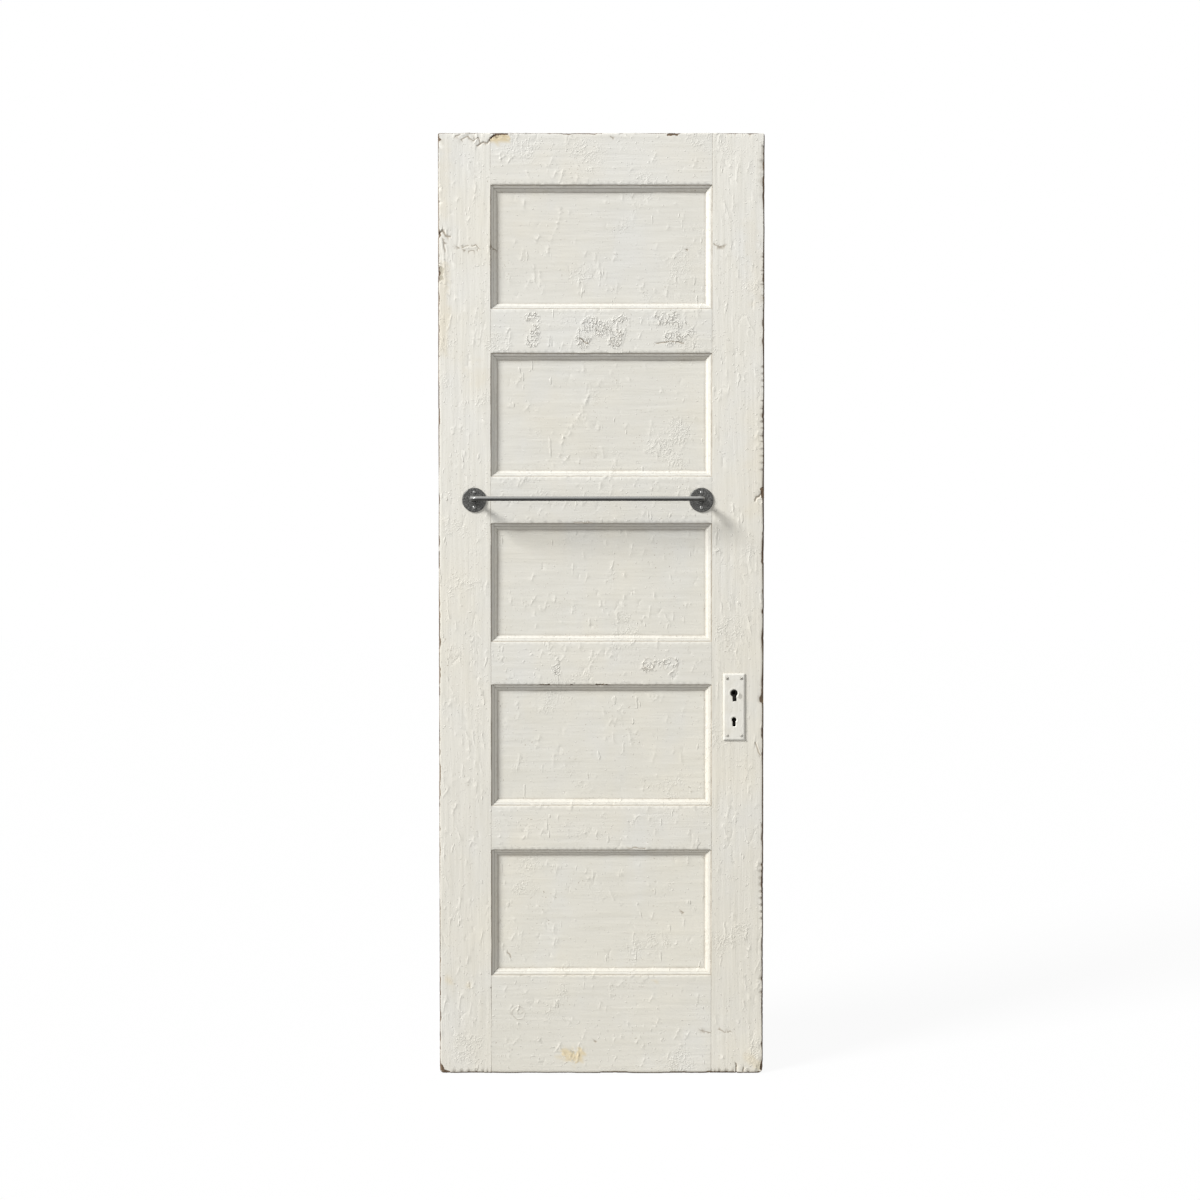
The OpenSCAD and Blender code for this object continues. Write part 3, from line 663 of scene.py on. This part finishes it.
tree, spot, come, go = new_group("bare_timber", {}, ("Color", "Height"))
bare_timber = tree
fibre = grain(tree, spot, 520.0, 3.0, 0.65)
patchy = between(tree, grain(tree, spot, 45.0), 0.5, 0.7)
timber = tint(tree, between(tree, fibre, 0.3, 0.7), (0.060, 0.040, 0.025, 1),
              (0.235, 0.160, 0.098, 1))
wire(tree, go, {"Color": tint(tree, patchy, timber, (0.29, 0.235, 0.17, 1)),
                "Height": times(tree, fibre, 0.0003)})

tree, spot, come, go = new_group("torn_rim", {"Field": 0.0}, ("Mask", "Rim"))
torn_rim = tree
torn = plus(tree, come["Field"], sway(tree, spot, 500.0, 0.35))
mask = between(tree, torn, 0.46, 0.54)
wire(tree, go, {"Mask": mask, "Rim": minus(tree, between(tree, torn, 0.26, 0.46), mask)})

tree, spot, come, go = new_group("joint_line", {}, ("Line",))
joint_line = tree
joint_width = 0.0006
across = calc(tree, "ABSOLUTE", add_node(tree, "ShaderNodeSeparateXYZ", {0: spot}).outputs[0])
off = plus(tree, minus(tree, across, arris), sway(tree, spot, 35.0, 0.0012))
line = minus(tree, 1.0, between(tree, calc(tree, "ABSOLUTE", off), 0.0, joint_width))
fainter = between(tree, grain(tree, spot, 14.0), 0.3, 0.6)
wire(tree, go, {"Line": times(tree, line, fainter)})


def painted_wood(name, strokes, across, top_colour, low_colour):
    """Old oil paint on softwood. strokes stretches the brush marks along the member."""
    made, tree, skin, spot = new_finish(name, 0.4)
    field = read_fields(tree, paint_fields)
    along = stretch(tree, spot, strokes)
    brush = place(tree, brush_strokes, along, Across=across)
    drops = place(tree, paint_nibs, spot)
    age = place(tree, age_stains, spot)
    wood = place(tree, bare_timber, along)
    torn = place(tree, torn_rim, spot, Field=field["bare"])
    older = place(tree, torn_rim, spot, Field=field["undercoat"])
    joint = place(tree, joint_line, spot)
    lifted = place(tree, lifted_paint, spot, Amount=field["craze"])
    edge = place(tree, moulded_edge, spot, Depth=field["recess"])
    at = add_node(tree, "ShaderNodeSeparateXYZ", {0: spot}).outputs
    # The paint is lighter towards the top left and darker towards the bottom right: painted light and
    # shade.
    painted_light_slope = between(tree, minus(tree, at[2], at[0]), -0.2, 2.4)
    streak = times(tree, between(tree, brush["Streak"], 0.35, 0.75), 0.5)
    paint = tint(tree, painted_light_slope, low_colour, top_colour)
    paint = tint(tree, times(tree, age["Warm"], 0.55), paint, (0.80, 0.755, 0.645, 1))
    paint = tint(tree, times(tree, age["Cool"], 0.30), paint, (0.76, 0.765, 0.755, 1))
    paint = tint(tree, streak, paint, (0.94, 0.935, 0.915, 1), "MULTIPLY")
    paint = tint(tree, older["Mask"], paint, (0.50, 0.485, 0.42, 1))
    paint = tint(tree, field["stain"], paint, (0.72, 0.60, 0.38, 1))
    # Darkens the paint with dirt, and with the painted shade of the mouldings, lifted curls, corners,
    # foot and openings.
    dirt_and_shade = plus(tree, times(tree, age["Specks"], 0.5), times(tree, joint["Line"], 0.75),
                times(tree, field["grime"], 0.75), lifted["Dirt_and_shade"], edge["Dirt_and_shade"],
                times(tree, torn["Rim"], 0.30), times(tree, older["Rim"], 0.25))
    paint = tint(tree, calc(tree, "MINIMUM", dirt_and_shade, 1.0), paint, (0.26, 0.20, 0.13, 1))
    # Bare wood turns dark brown under its dirt and painted shade, and near black where the field is
    # full: painted shade in the lock's bored openings and deep in cracks.
    grimed_and_shaded, black = (between(tree, field["grime"], *ends) for ends in ((0.3, 0.7), (0.9, 1.0)))
    timber = tint(tree, grimed_and_shaded, wood["Color"], (0.100, 0.062, 0.036, 1))
    timber = tint(tree, black, timber, (0.012, 0.010, 0.008, 1))
    coat = plus(tree, brush["Height"], drops["Height"], lifted["Height"], edge["Height"])
    coat = minus(tree, coat, times(tree, joint["Line"], 0.0004), times(tree, older["Mask"], 0.0002))
    sunk = minus(tree, wood["Height"], 0.0005)
    surface = add_node(tree, "ShaderNodeMix", {0: torn["Mask"], 2: coat, 3: sunk}, data_type="FLOAT")
    rough = plus(tree, times(tree, torn["Mask"], 0.30), 0.46, times(tree, age["Warm"], 0.12))
    wire(tree, skin.inputs, {"Base Color": tint(tree, torn["Mask"], paint, timber),
                             "Roughness": rough, "Normal": relief(tree, surface.outputs[0])})
    return made


upright_paint = painted_wood("upright_paint", (1, 1, 0.07), 420.0, (0.835, 0.815, 0.75, 1),
                             (0.735, 0.705, 0.625, 1))

# (kind, line through (x, z) in mm, size in mm, height in mm)
hinge_stile_marks = [
    ("crack", [(-307, 2041), (-290, 2049), (-279, 2040), (-268, 2046), (-262, 2034)], 1.3, -0.7),
    ("crack", [(-270, 2029), (-256, 2037), (-246, 2035), (-241, 2046)], 1.9, -1.3),
    ("crack", [(-318, 2050), (-306, 2053)], 1.4, -0.8),
    ("ridge", [(-303, 2052), (-287, 2056)], 2.4, 0.9),
    ("flake", [(-352, 2043)], 3.6, -0.8),
    ("flake", [(-351, 15), (-348, 7), (-341, 3), (-334, 1)], 3.4, -0.6),
    ("crack", [(-355, 1838), (-345, 1846), (-338, 1834), (-329, 1832)], 2.2, -1.6),
    ("ridge", [(-349, 1846), (-346, 1850), (-338, 1848), (-336, 1838)], 1.8, 0.8),
    ("ridge", [(-349, 1830), (-344, 1795), (-341, 1760), (-338, 1726)], 2.6, 0.7),
    ("crack", [(-344, 1828), (-340, 1800)], 1.2, -0.4),
    ("crack", [(-314, 1811), (-306, 1806), (-294, 1813), (-282, 1811), (-274, 1815), (-268, 1808),
               (-272, 1802), (-288, 1801), (-302, 1804)], 0.9, -0.5),
    ("ridge", [(-296, 1809), (-284, 1807), (-276, 1810)], 2.0, 0.5),
    ("crack", [(-242, 1811), (-234, 1808), (-226, 1805)], 1.0, -0.6),
    ("flake", [(-352, 1764), (-350, 1742)], 5.5, -0.35),
    ("flake", [(-346, 1757)], 6.0, -0.35),
    ("ridge", [(-299, 760), (-292, 738), (-288, 712)], 1.5, 0.6),
    ("ridge", [(-281, 756), (-279, 724)], 1.3, 0.5),
    ("ridge", [(-262, 748), (-255, 715)], 1.3, 0.5),
    ("flake", [(-241, 190), (-240, 152)], 2.2, -0.45),
    ("stain", [(-335, 204)], 9.0, 0.35),
    ("stain", [(-293, 193)], 7.0, 0.35),
    ("stain", [(-268, 1540)], 34.0, 0.14),
    ("stain", [(-344, 1765), (-348, 1590)], 20.0, 0.24),
    ("stain", [(-340, 2030), (-346, 1880)], 16.0, 0.14),
] + small_marks(11, 150, (-348, 20), (-250, 2040), 40, 8)
# (foot, head, depth) in mm
hinge_stile_chips = [
    (2036, 2057, 5), (1828, 1850, 9), (1738, 1768, 6), (1676, 1716, 3.4), (1590, 1608, 3),
    (1496, 1520, 3), (1262, 1280, 3), (1130, 1150, 3), (993, 1019, 5), (932, 967, 4.5),
    (857, 899, 5), (700, 716, 3), (604, 640, 3.2), (480, 492, 3), (356, 371, 3.5),
    (240, 262, 3), (118, 136, 3), (0, 30, 5)]
gain_height, gain_depth, gain_stop = 0.089, 0.0042, -0.0117
gain_middles = (1.807, 0.324)


def bare_gains(points, fields):
    """The seats cut for the two hinges are bare wood."""
    depth = points[:, 0] + leaf_half
    seat = (depth < gain_depth) & (depth > 0.0006) & (points[:, 1] > gain_stop)
    for middle in gain_middles:
        inside = seat & (np.abs(points[:, 2] - middle) < gain_height / 2 + 0.0005)
        fields["bare"][inside] = 1.0


wood_cells = (0.030, 0.035, 0.030)
points, triangles, fields = painted_member("hinge_stile", wood_cells, hinge_stile_marks,
                                           hinge_stile_chips, 101)
bare_gains(points, fields)
add_piece("hinge_stile_painted", points, triangles, fields, upright_paint, "painted_wood",
          ["hinge_stile"])

lock_stile_marks = [
    ("crack", [(245, 1816), (254, 1811), (264, 1813), (274, 1808)], 1.1, -0.6),
    ("flake", [(351, 1284), (352, 1268)], 3.6, -0.9),
    ("ring", [(345.5, 1257)], 5.4, 1.3),
    ("crack", [(337, 1260), (338, 1266), (345, 1268), (349, 1275)], 1.8, -1.7),
    ("stain", [(335, 1380), (340, 1240)], 30.0, 0.10),
    ("stain", [(325, 1860), (343, 1700)], 24.0, 0.12),
    ("flake", [(241, 1306), (241, 1301)], 2.0, -0.45),
    ("flake", [(237, 944), (237, 938)], 2.2, -0.45),
    ("ridge", [(249, 1148), (257, 1152), (262, 1146)], 2.2, 0.8),
    ("crack", [(337, 729), (342, 716), (348, 701)], 1.4, -0.7),
    ("ridge", [(341, 728), (346, 714), (350, 703)], 1.6, 0.8),
    ("ridge", [(322, 635), (322, 619)], 1.6, 0.7),
    ("crack", [(256, 97), (272, 91), (284, 93)], 0.7, -0.35),
    ("crack", [(296.5, 21), (297, 12), (297, 0)], 1.6, -1.6),
    ("crack", [(312.5, 13), (312.5, 0)], 1.4, -1.3),
    ("ridge", [(304, 14), (305, 3)], 3.4, 0.6),
    ("flake", [(346, 22), (343, 6)], 3.6, -0.35),
    ("stain", [(322, 34), (345, 20)], 14.0, 0.30),
    ("ridge", [(286, 1250), (289, 1228)], 1.8, 0.8),
    ("ridge", [(293, 1246), (302, 1238)], 1.6, 0.6),
] + small_marks(12, 150, (250, 20), (348, 2040), 40, 6)
lock_stile_chips = [
    (1978, 1994, 4), (1852, 1868, 4), (1771, 1786, 4), (1700, 1712, 3), (1640, 1655, 3),
    (1560, 1575, 2.6), (1470, 1480, 2.6), (1380, 1400, 2.6), (1266, 1288, 4.2), (1118, 1135, 6),
    (1041, 1074, 5), (997, 1030, 4.5), (936, 980, 4.5), (890, 905, 3.5), (804, 855, 9.5),
    (734, 762, 5), (700, 712, 3), (660, 690, 3), (602, 611, 4), (536, 558, 4), (470, 490, 3),
    (420, 436, 3), (350, 380, 3), (250, 275, 3), (160, 180, 3), (90, 110, 3.4), (0, 37, 7)]
points, triangles, fields = painted_member("lock_stile", wood_cells, lock_stile_marks,
                                           lock_stile_chips, 202)
# Of the spindle's opening, then of the key's.
opening_middles = np.array([0.2905, 0.838]), np.array([0.2905, 0.780])
bore_radii, shade_radii, lip_radii = (0.020, 0.017), (0.014, 0.011), (0.0105, 0.0082)


def past_openings(points, radii):
    """How far points are outside a circle round each of the two openings."""
    return [size_of(points[:, [0, 2]] - middle) - radius
            for middle, radius in zip(opening_middles, radii)]


# The lock's bored openings are bare wood, and behind the door's face they are painted near black:
# painted shade inside the lock's way.
bored = np.minimum(*past_openings(points, bore_radii)) < 0
fields["bare"][bored] = 1.0
fields["grime"][bored & (np.abs(points[:, 1]) < leaf_front - 0.0005)] = 1.0
add_piece("lock_stile_painted", points, triangles, fields, upright_paint, "painted_wood",
          ["lock_stile"])

# ---- Rails ----
# Six cross members of the same wood, dowelled between the stiles. Their ends are
# coped over the stiles' moulding, and they are brushed from side to side.

level_paint = painted_wood("level_paint", (0.07, 1, 1), 420.0, (0.80, 0.785, 0.73, 1),
                           (0.725, 0.70, 0.625, 1))
rail_marks = {
    "top_rail": [
        ("flake", [(-240, 2046), (-234, 2051), (-216, 2055), (-204, 2055)], 2.0, -0.7),
        ("stain", [(-234, 2042), (-205, 2048)], 10.0, 0.9),
        ("crack", [(-241, 2046), (-234, 2051), (-226, 2046)], 1.6, -1.0),
        ("ridge", [(-226, 2022), (-219, 2014), (-226, 2008)], 1.6, 0.6),
        ("ridge", [(-216, 2016), (-210, 2006), (-219, 2001)], 2.0, 0.7),
        ("flake", [(146, 2053), (166, 2055)], 3.0, -0.5),
        ("crack", [(20, 2050), (26, 2044)], 1.2, -0.5),
    ],
    "cross_rail_1": [
        ("craze", [(-150, 1655), (-143, 1630), (-150, 1607)], 17.0, 0.9),
        ("craze", [(-42, 1607), (-22, 1640), (10, 1632), (45, 1650), (30, 1605)], 23.0, 1.3),
        ("craze", [(128, 1655), (160, 1650), (188, 1628), (155, 1610)], 21.0, 1.2),
        ("crack", [(-46, 1612), (-30, 1600)], 1.3, -0.8),
        ("crack", [(120, 1600), (150, 1606), (180, 1601)], 1.2, -0.7),
    ],
    "cross_rail_2": [
        ("ridge", [(120, 1300), (126, 1286)], 1.5, 0.6),
        ("crack", [(-60, 1212), (-20, 1210)], 1.0, -0.4),
    ],
    "cross_rail_3": [
        ("flake", [(-134, 857.5), (-112, 857)], 1.0, -0.5),
        ("flake", [(-70, 857.5), (-62, 857)], 1.0, -0.5),
        ("flake", [(-12, 857.5), (19, 857)], 1.1, -0.5),
        ("craze", [(-106, 918), (-98, 882)], 13.0, 0.8),
        ("ring", [(104, 902)], 12.0, 0.6),
        ("ring", [(150, 900)], 16.0, 0.6),
        ("craze", [(96, 895), (160, 905)], 14.0, 0.6),
    ],
    "cross_rail_4": [
        ("ridge", [(-120, 560), (-118, 540)], 1.6, 0.6),
        ("crack", [(60, 498), (96, 496)], 1.0, -0.4),
    ],
    "bottom_rail": [
        ("ring", [(-182, 134)], 14.0, 0.8),
        ("ring", [(-179, 138)], 6.0, 0.5),
        ("stain", [(-78, 44), (-52, 38)], 19.0, 0.8),
        ("ridge", [(-92, 58), (-80, 40), (-66, 30)], 2.0, 0.8),
        ("ridge", [(-60, 56), (-50, 44), (-54, 26)], 2.0, 0.8),
        ("flake", [(-64, 44)], 6.0, -0.3),
        ("crack", [(-15, 72), (-12, 70)], 1.8, -0.6),
        ("stain", [(118, 204)], 6.0, 0.4),
        ("crack", [(217, 96), (241, 90)], 0.9, -0.4),
    ],
}
for number, (name, marks) in enumerate(rail_marks.items()):
    low, high = (1000 * end.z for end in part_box(name))
    inset = 0 if name in ("top_rail", "bottom_rail") else 17
    strewn = small_marks(30 + number, int((high - low) * 0.34), (-225, low + inset),
                         (225, high - inset), 26, 20)
    made = painted_member(name, wood_cells, marks + strewn, [], 300 + 10 * number, coarse=0.013)
    add_piece(name + "_painted", *made, level_paint, "painted_wood", [name])

# ---- Panels ----
# Five flat panels, held loose in the grooves of the frame so that they can swell,
# and painted with it. They carry runs, scratches and nibs under the last coat.

panel_paint = painted_wood("panel_paint", (0.09, 1, 1), 380.0, (0.775, 0.757, 0.695, 1),
                           (0.735, 0.71, 0.63, 1))
panel_marks = {
    "panel_1": [
        *chain(61, [(-88, 1898), (-98, 1856), (-112, 1826)], 6.0, 0.45),
        *chain(62, [(-113, 1815), (-123, 1793)], 4.5, 0.6),
        ("ridge", [(-148, 1776), (-146, 1738)], 1.6, 0.6),
        ("ridge", [(-135, 1760), (-134, 1728)], 1.6, 0.6),
        ("ridge", [(-170, 1808), (-176, 1786)], 1.8, 0.5),
        ("ring", [(188, 1806)], 3.2, 0.5),
        ("crack", [(187, 1807), (189, 1805)], 1.8, -0.8),
    ],
    "panel_2": [
        *chain(63, [(14, 1538), (-6, 1518), (-30, 1488), (-46, 1448), (-68, 1420)], 6.0, 0.55),
        *chain(64, [(-72, 1424), (-84, 1400), (-88, 1376)], 6.0, 0.6),
        *chain(65, [(-22, 1512), (-30, 1488)], 5.0, 0.5),
    ],
    "panel_3": [
        ("ridge", [(140, 1010), (150, 990)], 1.5, 0.6),
        ("ridge", [(-30, 1100), (-34, 1082)], 1.4, 0.5),
    ],
    "panel_4": [
        ("ridge", [(60, 760), (66, 720)], 1.5, 0.5),
        ("ridge", [(-180, 700), (-184, 668)], 1.5, 0.6),
    ],
    "panel_5": [
        ("crack", [(178, 355), (181, 353)], 1.4, -0.5),
        ("crack", [(-206, 264), (-202, 261), (-199, 255)], 1.5, -0.4),
        ("ridge", [(-212, 266), (-206, 258), (-199, 248)], 1.8, 0.7),
        ("ridge", [(20, 400), (28, 380)], 1.4, 0.5),
    ],
}
for number, (name, marks) in enumerate(panel_marks.items()):
    low, high = (1000 * end.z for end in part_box(name))
    strewn = small_marks(50 + number, 70, (-218, low + 20), (218, high - 20), 24, 12)
    made = painted_member(name, (0.030, 0.02, 0.030), marks + strewn, [], 500 + 10 * number,
                          coarse=0.014, rough=0.00030)
    add_piece(name + "_painted", *made, panel_paint, "painted_panel", [name])

# ---- Dowels ----
# Birch pins, fluted and glued, that hold each joint of the frame. They lie inside
# the wood, so only their bare timber finish is given.


def finish_node(name, finish):
    """Gives a CAD node, whose shape stays, its own finish."""
    for place_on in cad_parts[name].material_slots:
        place_on.material = finish


dowel_timber, tree, skin, spot = new_finish("dowel_timber")
wood = place(tree, bare_timber, stretch(tree, spot, (0.1, 1, 1)))
wire(tree, skin.inputs, {"Base Color": tint(tree, 0.6, wood["Color"], (0.50, 0.36, 0.20, 1)),
                         "Normal": relief(tree, wood["Height"])})
skin.inputs["Roughness"].default_value = 0.7
for name in ("dowels_hinge_side", "dowels_lock_side"):
    finish_node(name, dowel_timber)

# ---- Lock plates ----
# Two pressed iron plates, each held by four slotted round-head screws. The front
# one has a spindle opening and a keyhole. Plates and screws were painted over.

iron_inputs = {"Dark": (0.03, 0.03, 0.03, 1), "Pale": (0.12, 0.12, 0.12, 1), "Grain": 90.0,
               "Polish": 0.24}
tree, spot, come, go = new_group("worn_iron", iron_inputs, ("Color", "Rough", "Height"))
worn_iron = tree
mottle = grain(tree, spot, come["Grain"], 4.0, 0.6)
pocks = grain(tree, spot, times(tree, come["Grain"], 7.0))
wire(tree, go, {"Color": tint(tree, between(tree, mottle, 0.34, 0.68), come["Dark"], come["Pale"]),
                "Rough": plus(tree, come["Polish"], times(tree, pocks, 0.36)),
                "Height": plus(tree, times(tree, mottle, 0.00025), times(tree, pocks, 0.00003))})


plate_fields = ("bare", "grime")


def painted_iron(name):
    """The door's paint over iron: thick, softened, chipped to dark metal."""
    made, tree, skin, spot = new_finish(name, 0.4)
    field = read_fields(tree, plate_fields)
    brush = place(tree, brush_strokes, stretch(tree, spot, (1, 1, 0.12)), Across=500.0)
    drops = place(tree, paint_nibs, spot, Amount=0.45)
    torn = place(tree, torn_rim, spot, Field=field["bare"])
    age = place(tree, age_stains, stretch(tree, spot, (6, 6, 6)))
    warm = times(tree, age["Warm"], 0.5)
    paint = tint(tree, warm, (0.785, 0.765, 0.70, 1), (0.71, 0.67, 0.575, 1))
    # Darkens the paint with dirt in the screw slots, and with the painted shade in the openings and
    # where the plate meets the door.
    dirt_and_shade = plus(tree, times(tree, field["grime"], 0.85), times(tree, torn["Rim"], 0.2))
    paint = tint(tree, calc(tree, "MINIMUM", dirt_and_shade, 1.0), paint, (0.10, 0.085, 0.06, 1))
    coat = plus(tree, times(tree, brush["Height"], 0.7), drops["Height"])
    coat = minus(tree, coat, times(tree, torn["Mask"], 0.0004))
    wire(tree, skin.inputs, {"Base Color": tint(tree, torn["Mask"], paint, (0.20, 0.165, 0.12, 1)),
                             "Roughness": plus(tree, 0.40, times(tree, field["grime"], 0.3)),
                             "Normal": relief(tree, coat)})
    return made


def worn_copy(node, cell, size, relief, lump, seed, most=0.0006):
    """A CAD node's shape, refined, with its arrises rounded and its faces uneven."""
    points, triangles = cut_shape(node, (cell, cell, cell))
    points, triangles = split_long(points, triangles, lambda middle: np.full(len(middle), size), 5)
    normal = point_normals(points, triangles)[0]
    points = soften(points, triangles, np.ones(len(points), bool), most)
    return points + normal * (relief * noise(points, lump, seed))[:, None], triangles


plate_paint = painted_iron("plate_paint")
plate_middle = (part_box("front_lock_plate")[0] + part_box("front_lock_plate")[1]) / 2
screw_across, screw_up, screw_slot, screw_rim = 0.0155, 0.0625, 0.0036, (0.0030, 0.006)
dark_spot_middle, dark_spot_size = np.array([0.3040, 0.831]), (0.0050, 0.0078)
for number, side in enumerate(("front", "back")):
    name = side + "_lock_plate"
    points, triangles = worn_copy(name, 0.012, 0.0022, 0.00012, 0.006, 71 + number)
    outer = np.abs(points[:, 1]) > leaf_front + 0.0012
    # Near the door's face the plate is darkened: fully inside the openings, as painted shade there,
    # and by a third along its edges where it meets the door.
    wall = 1 - fade(np.abs(points[:, 1]), leaf_front + 0.0006, leaf_front + 0.0026)
    shaded = np.minimum(*past_openings(points, shade_radii)) < 0
    fields = {"bare": 0 * wall, "grime": np.where(shaded, wall, 0.35 * wall)}
    # A soft darker spot on the front plate, to the right of the spindle opening.
    dark_spot = 1 - size_of((points[:, [0, 2]] - dark_spot_middle) / dark_spot_size)
    dark_spot += 0.3 * noise(points, 0.003, 5)
    deepen(fields, "grime", outer * (side == "front") * 0.45 * fade(dark_spot, 0, 0.5))
    lip = np.min(np.abs(past_openings(points, lip_radii)), axis=0)
    points[:, 1] += np.sign(points[:, 1]) * outer * 0.0004 * np.exp(-(lip / 0.0013) ** 2)
    add_piece(name + "_painted", points, triangles, fields, plate_paint, "painted_plate", [name])

    name = side + "_plate_screws"
    points, triangles = worn_copy(name, 0.02, 0.0012, 0.00008, 0.002, 81 + number, most=0.0002)
    turn = radians(40 if side == "front" else -25)
    height = np.abs(points[:, 1]) - leaf_front
    fields = {field: np.zeros(len(points)) for field in plate_fields}
    for across, up in product((-1, 1), repeat=2):
        offset = points[:, [0, 2]] - (plate_middle.x + across * screw_across,
                                      plate_middle.z + up * screw_up)
        off_slot = np.abs(offset @ (np.sin(turn), -np.cos(turn)))
        off_slot = np.minimum(off_slot, np.abs(offset @ (np.sin(turn), np.cos(turn))))
        away = size_of(offset)
        slot_dirt = (1.0 if up > 0 else 0.6) * (1 - fade(off_slot, 0.0004, 0.0011))
        here = (away < screw_slot) & (height > 0.0034)
        fields["grime"] = np.where(here, slot_dirt, fields["grime"])
        rim = (away > screw_rim[0]) & (away < screw_rim[1]) & (height > 0.002)
        deepen(fields, "grime", 0.7 * rim)
    add_piece(name + "_painted", points, triangles, fields, plate_paint, "painted_screws", [name])

# ---- Mortise lock ----
# An iron case let into the edge of the lock stile, with brass bolts, face plate and
# face plate screws. It is dull, brown and greasy, and the way through it is dark.


def old_metal(name, dark, pale, size, metallic, polish=0.24):
    """Unpainted metal of the hardware, mottled and pitted."""
    made, tree, skin, spot = new_finish(name)
    iron = place(tree, worn_iron, spot, Dark=dark, Pale=pale, Grain=size, Polish=polish)
    wire(tree, skin.inputs, {"Base Color": iron["Color"], "Roughness": iron["Rough"],
                             "Normal": relief(tree, iron["Height"])})
    skin.inputs["Metallic"].default_value = metallic
    return made


# The case, its cap and screw and the spindle hub are painted near black, darker than old iron: their
# own dark colour, and painted shade inside the lock seen through the openings.
lock_iron = old_metal("lock_iron", (0.006, 0.005, 0.004, 1), (0.03, 0.024, 0.018, 1), 120.0, 0.3)
lock_brass = old_metal("lock_brass", (0.14, 0.085, 0.035, 1), (0.42, 0.29, 0.13, 1), 110.0, 0.85)
spring_steel = old_metal("spring_steel", (0.03, 0.028, 0.025, 1), (0.12, 0.11, 0.10, 1), 200.0, 0.8)
for name in ("lock_case", "lock_cap", "lock_cap_screw", "spindle_hub"):
    finish_node(name, lock_iron)
for name in ("lock_face_plate", "face_plate_screws", "latch_bolt", "dead_bolt"):
    finish_node(name, lock_brass)
for name in ("latch_spring", "dead_bolt_spring"):
    finish_node(name, spring_steel)

# ---- Towel bar ----
# A later addition: a forged iron rod bent back at both ends, riveted into two
# round flanges, each held by two round-head screws. The iron is waxed and mottled.

bar_iron = old_metal("bar_iron", (0.022, 0.022, 0.020, 1), (0.17, 0.169, 0.162, 1), 330.0, 0.45)
rod_iron = old_metal("rod_iron", (0.035, 0.035, 0.033, 1), (0.05, 0.05, 0.048, 1), 90.0, 0.35, 0.10)
screw_iron = old_metal("screw_iron", (0.22, 0.22, 0.215, 1), (0.36, 0.36, 0.35, 1), 300.0, 0.75, 0.04)
tree = rod_iron.node_tree
skin = tree.nodes["Principled BSDF"].inputs
rod_middle = (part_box("towel_rod")[0].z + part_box("towel_rod")[1].z) / 2
spot = add_node(tree, "ShaderNodeTexCoord").outputs["Object"]
up = add_node(tree, "ShaderNodeSeparateXYZ", {0: spot}).outputs[2]
# The rod's upper half is painted paler than its lower half: painted light on top and painted shade
# below.
lit_top_half = between(tree, up, rod_middle - 0.0020, rod_middle + 0.0025)
waxed = skin["Base Color"].links[0].from_socket
wire(tree, skin, {"Base Color": tint(tree, lit_top_half, waxed, (0.34, 0.34, 0.33, 1))})
skin["Specular IOR Level"].default_value = 0.25
# name: finish, slot, longest side, unevenness
flange_looks = {"_flange": (bar_iron, "black_iron", 0.0022, 0.00018),
                "_flange_screws": (screw_iron, "iron_screws", 0.0012, 0.00005)}
for number, (kind, side) in enumerate(product(flange_looks, ("left", "right"))):
    finish, material_slot, size, uneven = flange_looks[kind]
    name = side + kind
    points, triangles = worn_copy(name, 0.014, size, uneven, 0.005, 91 + number, most=0.0005)
    add_piece(name + "_worn", points, triangles, {}, finish, material_slot, [name], crease=40)
points, triangles = worn_copy("towel_rod", 0.020, 0.0045, 0.00012, 0.012, 99, most=0.0003)
add_piece("towel_rod_worn", points, triangles, {}, rod_iron, "black_iron", ["towel_rod"], crease=40)
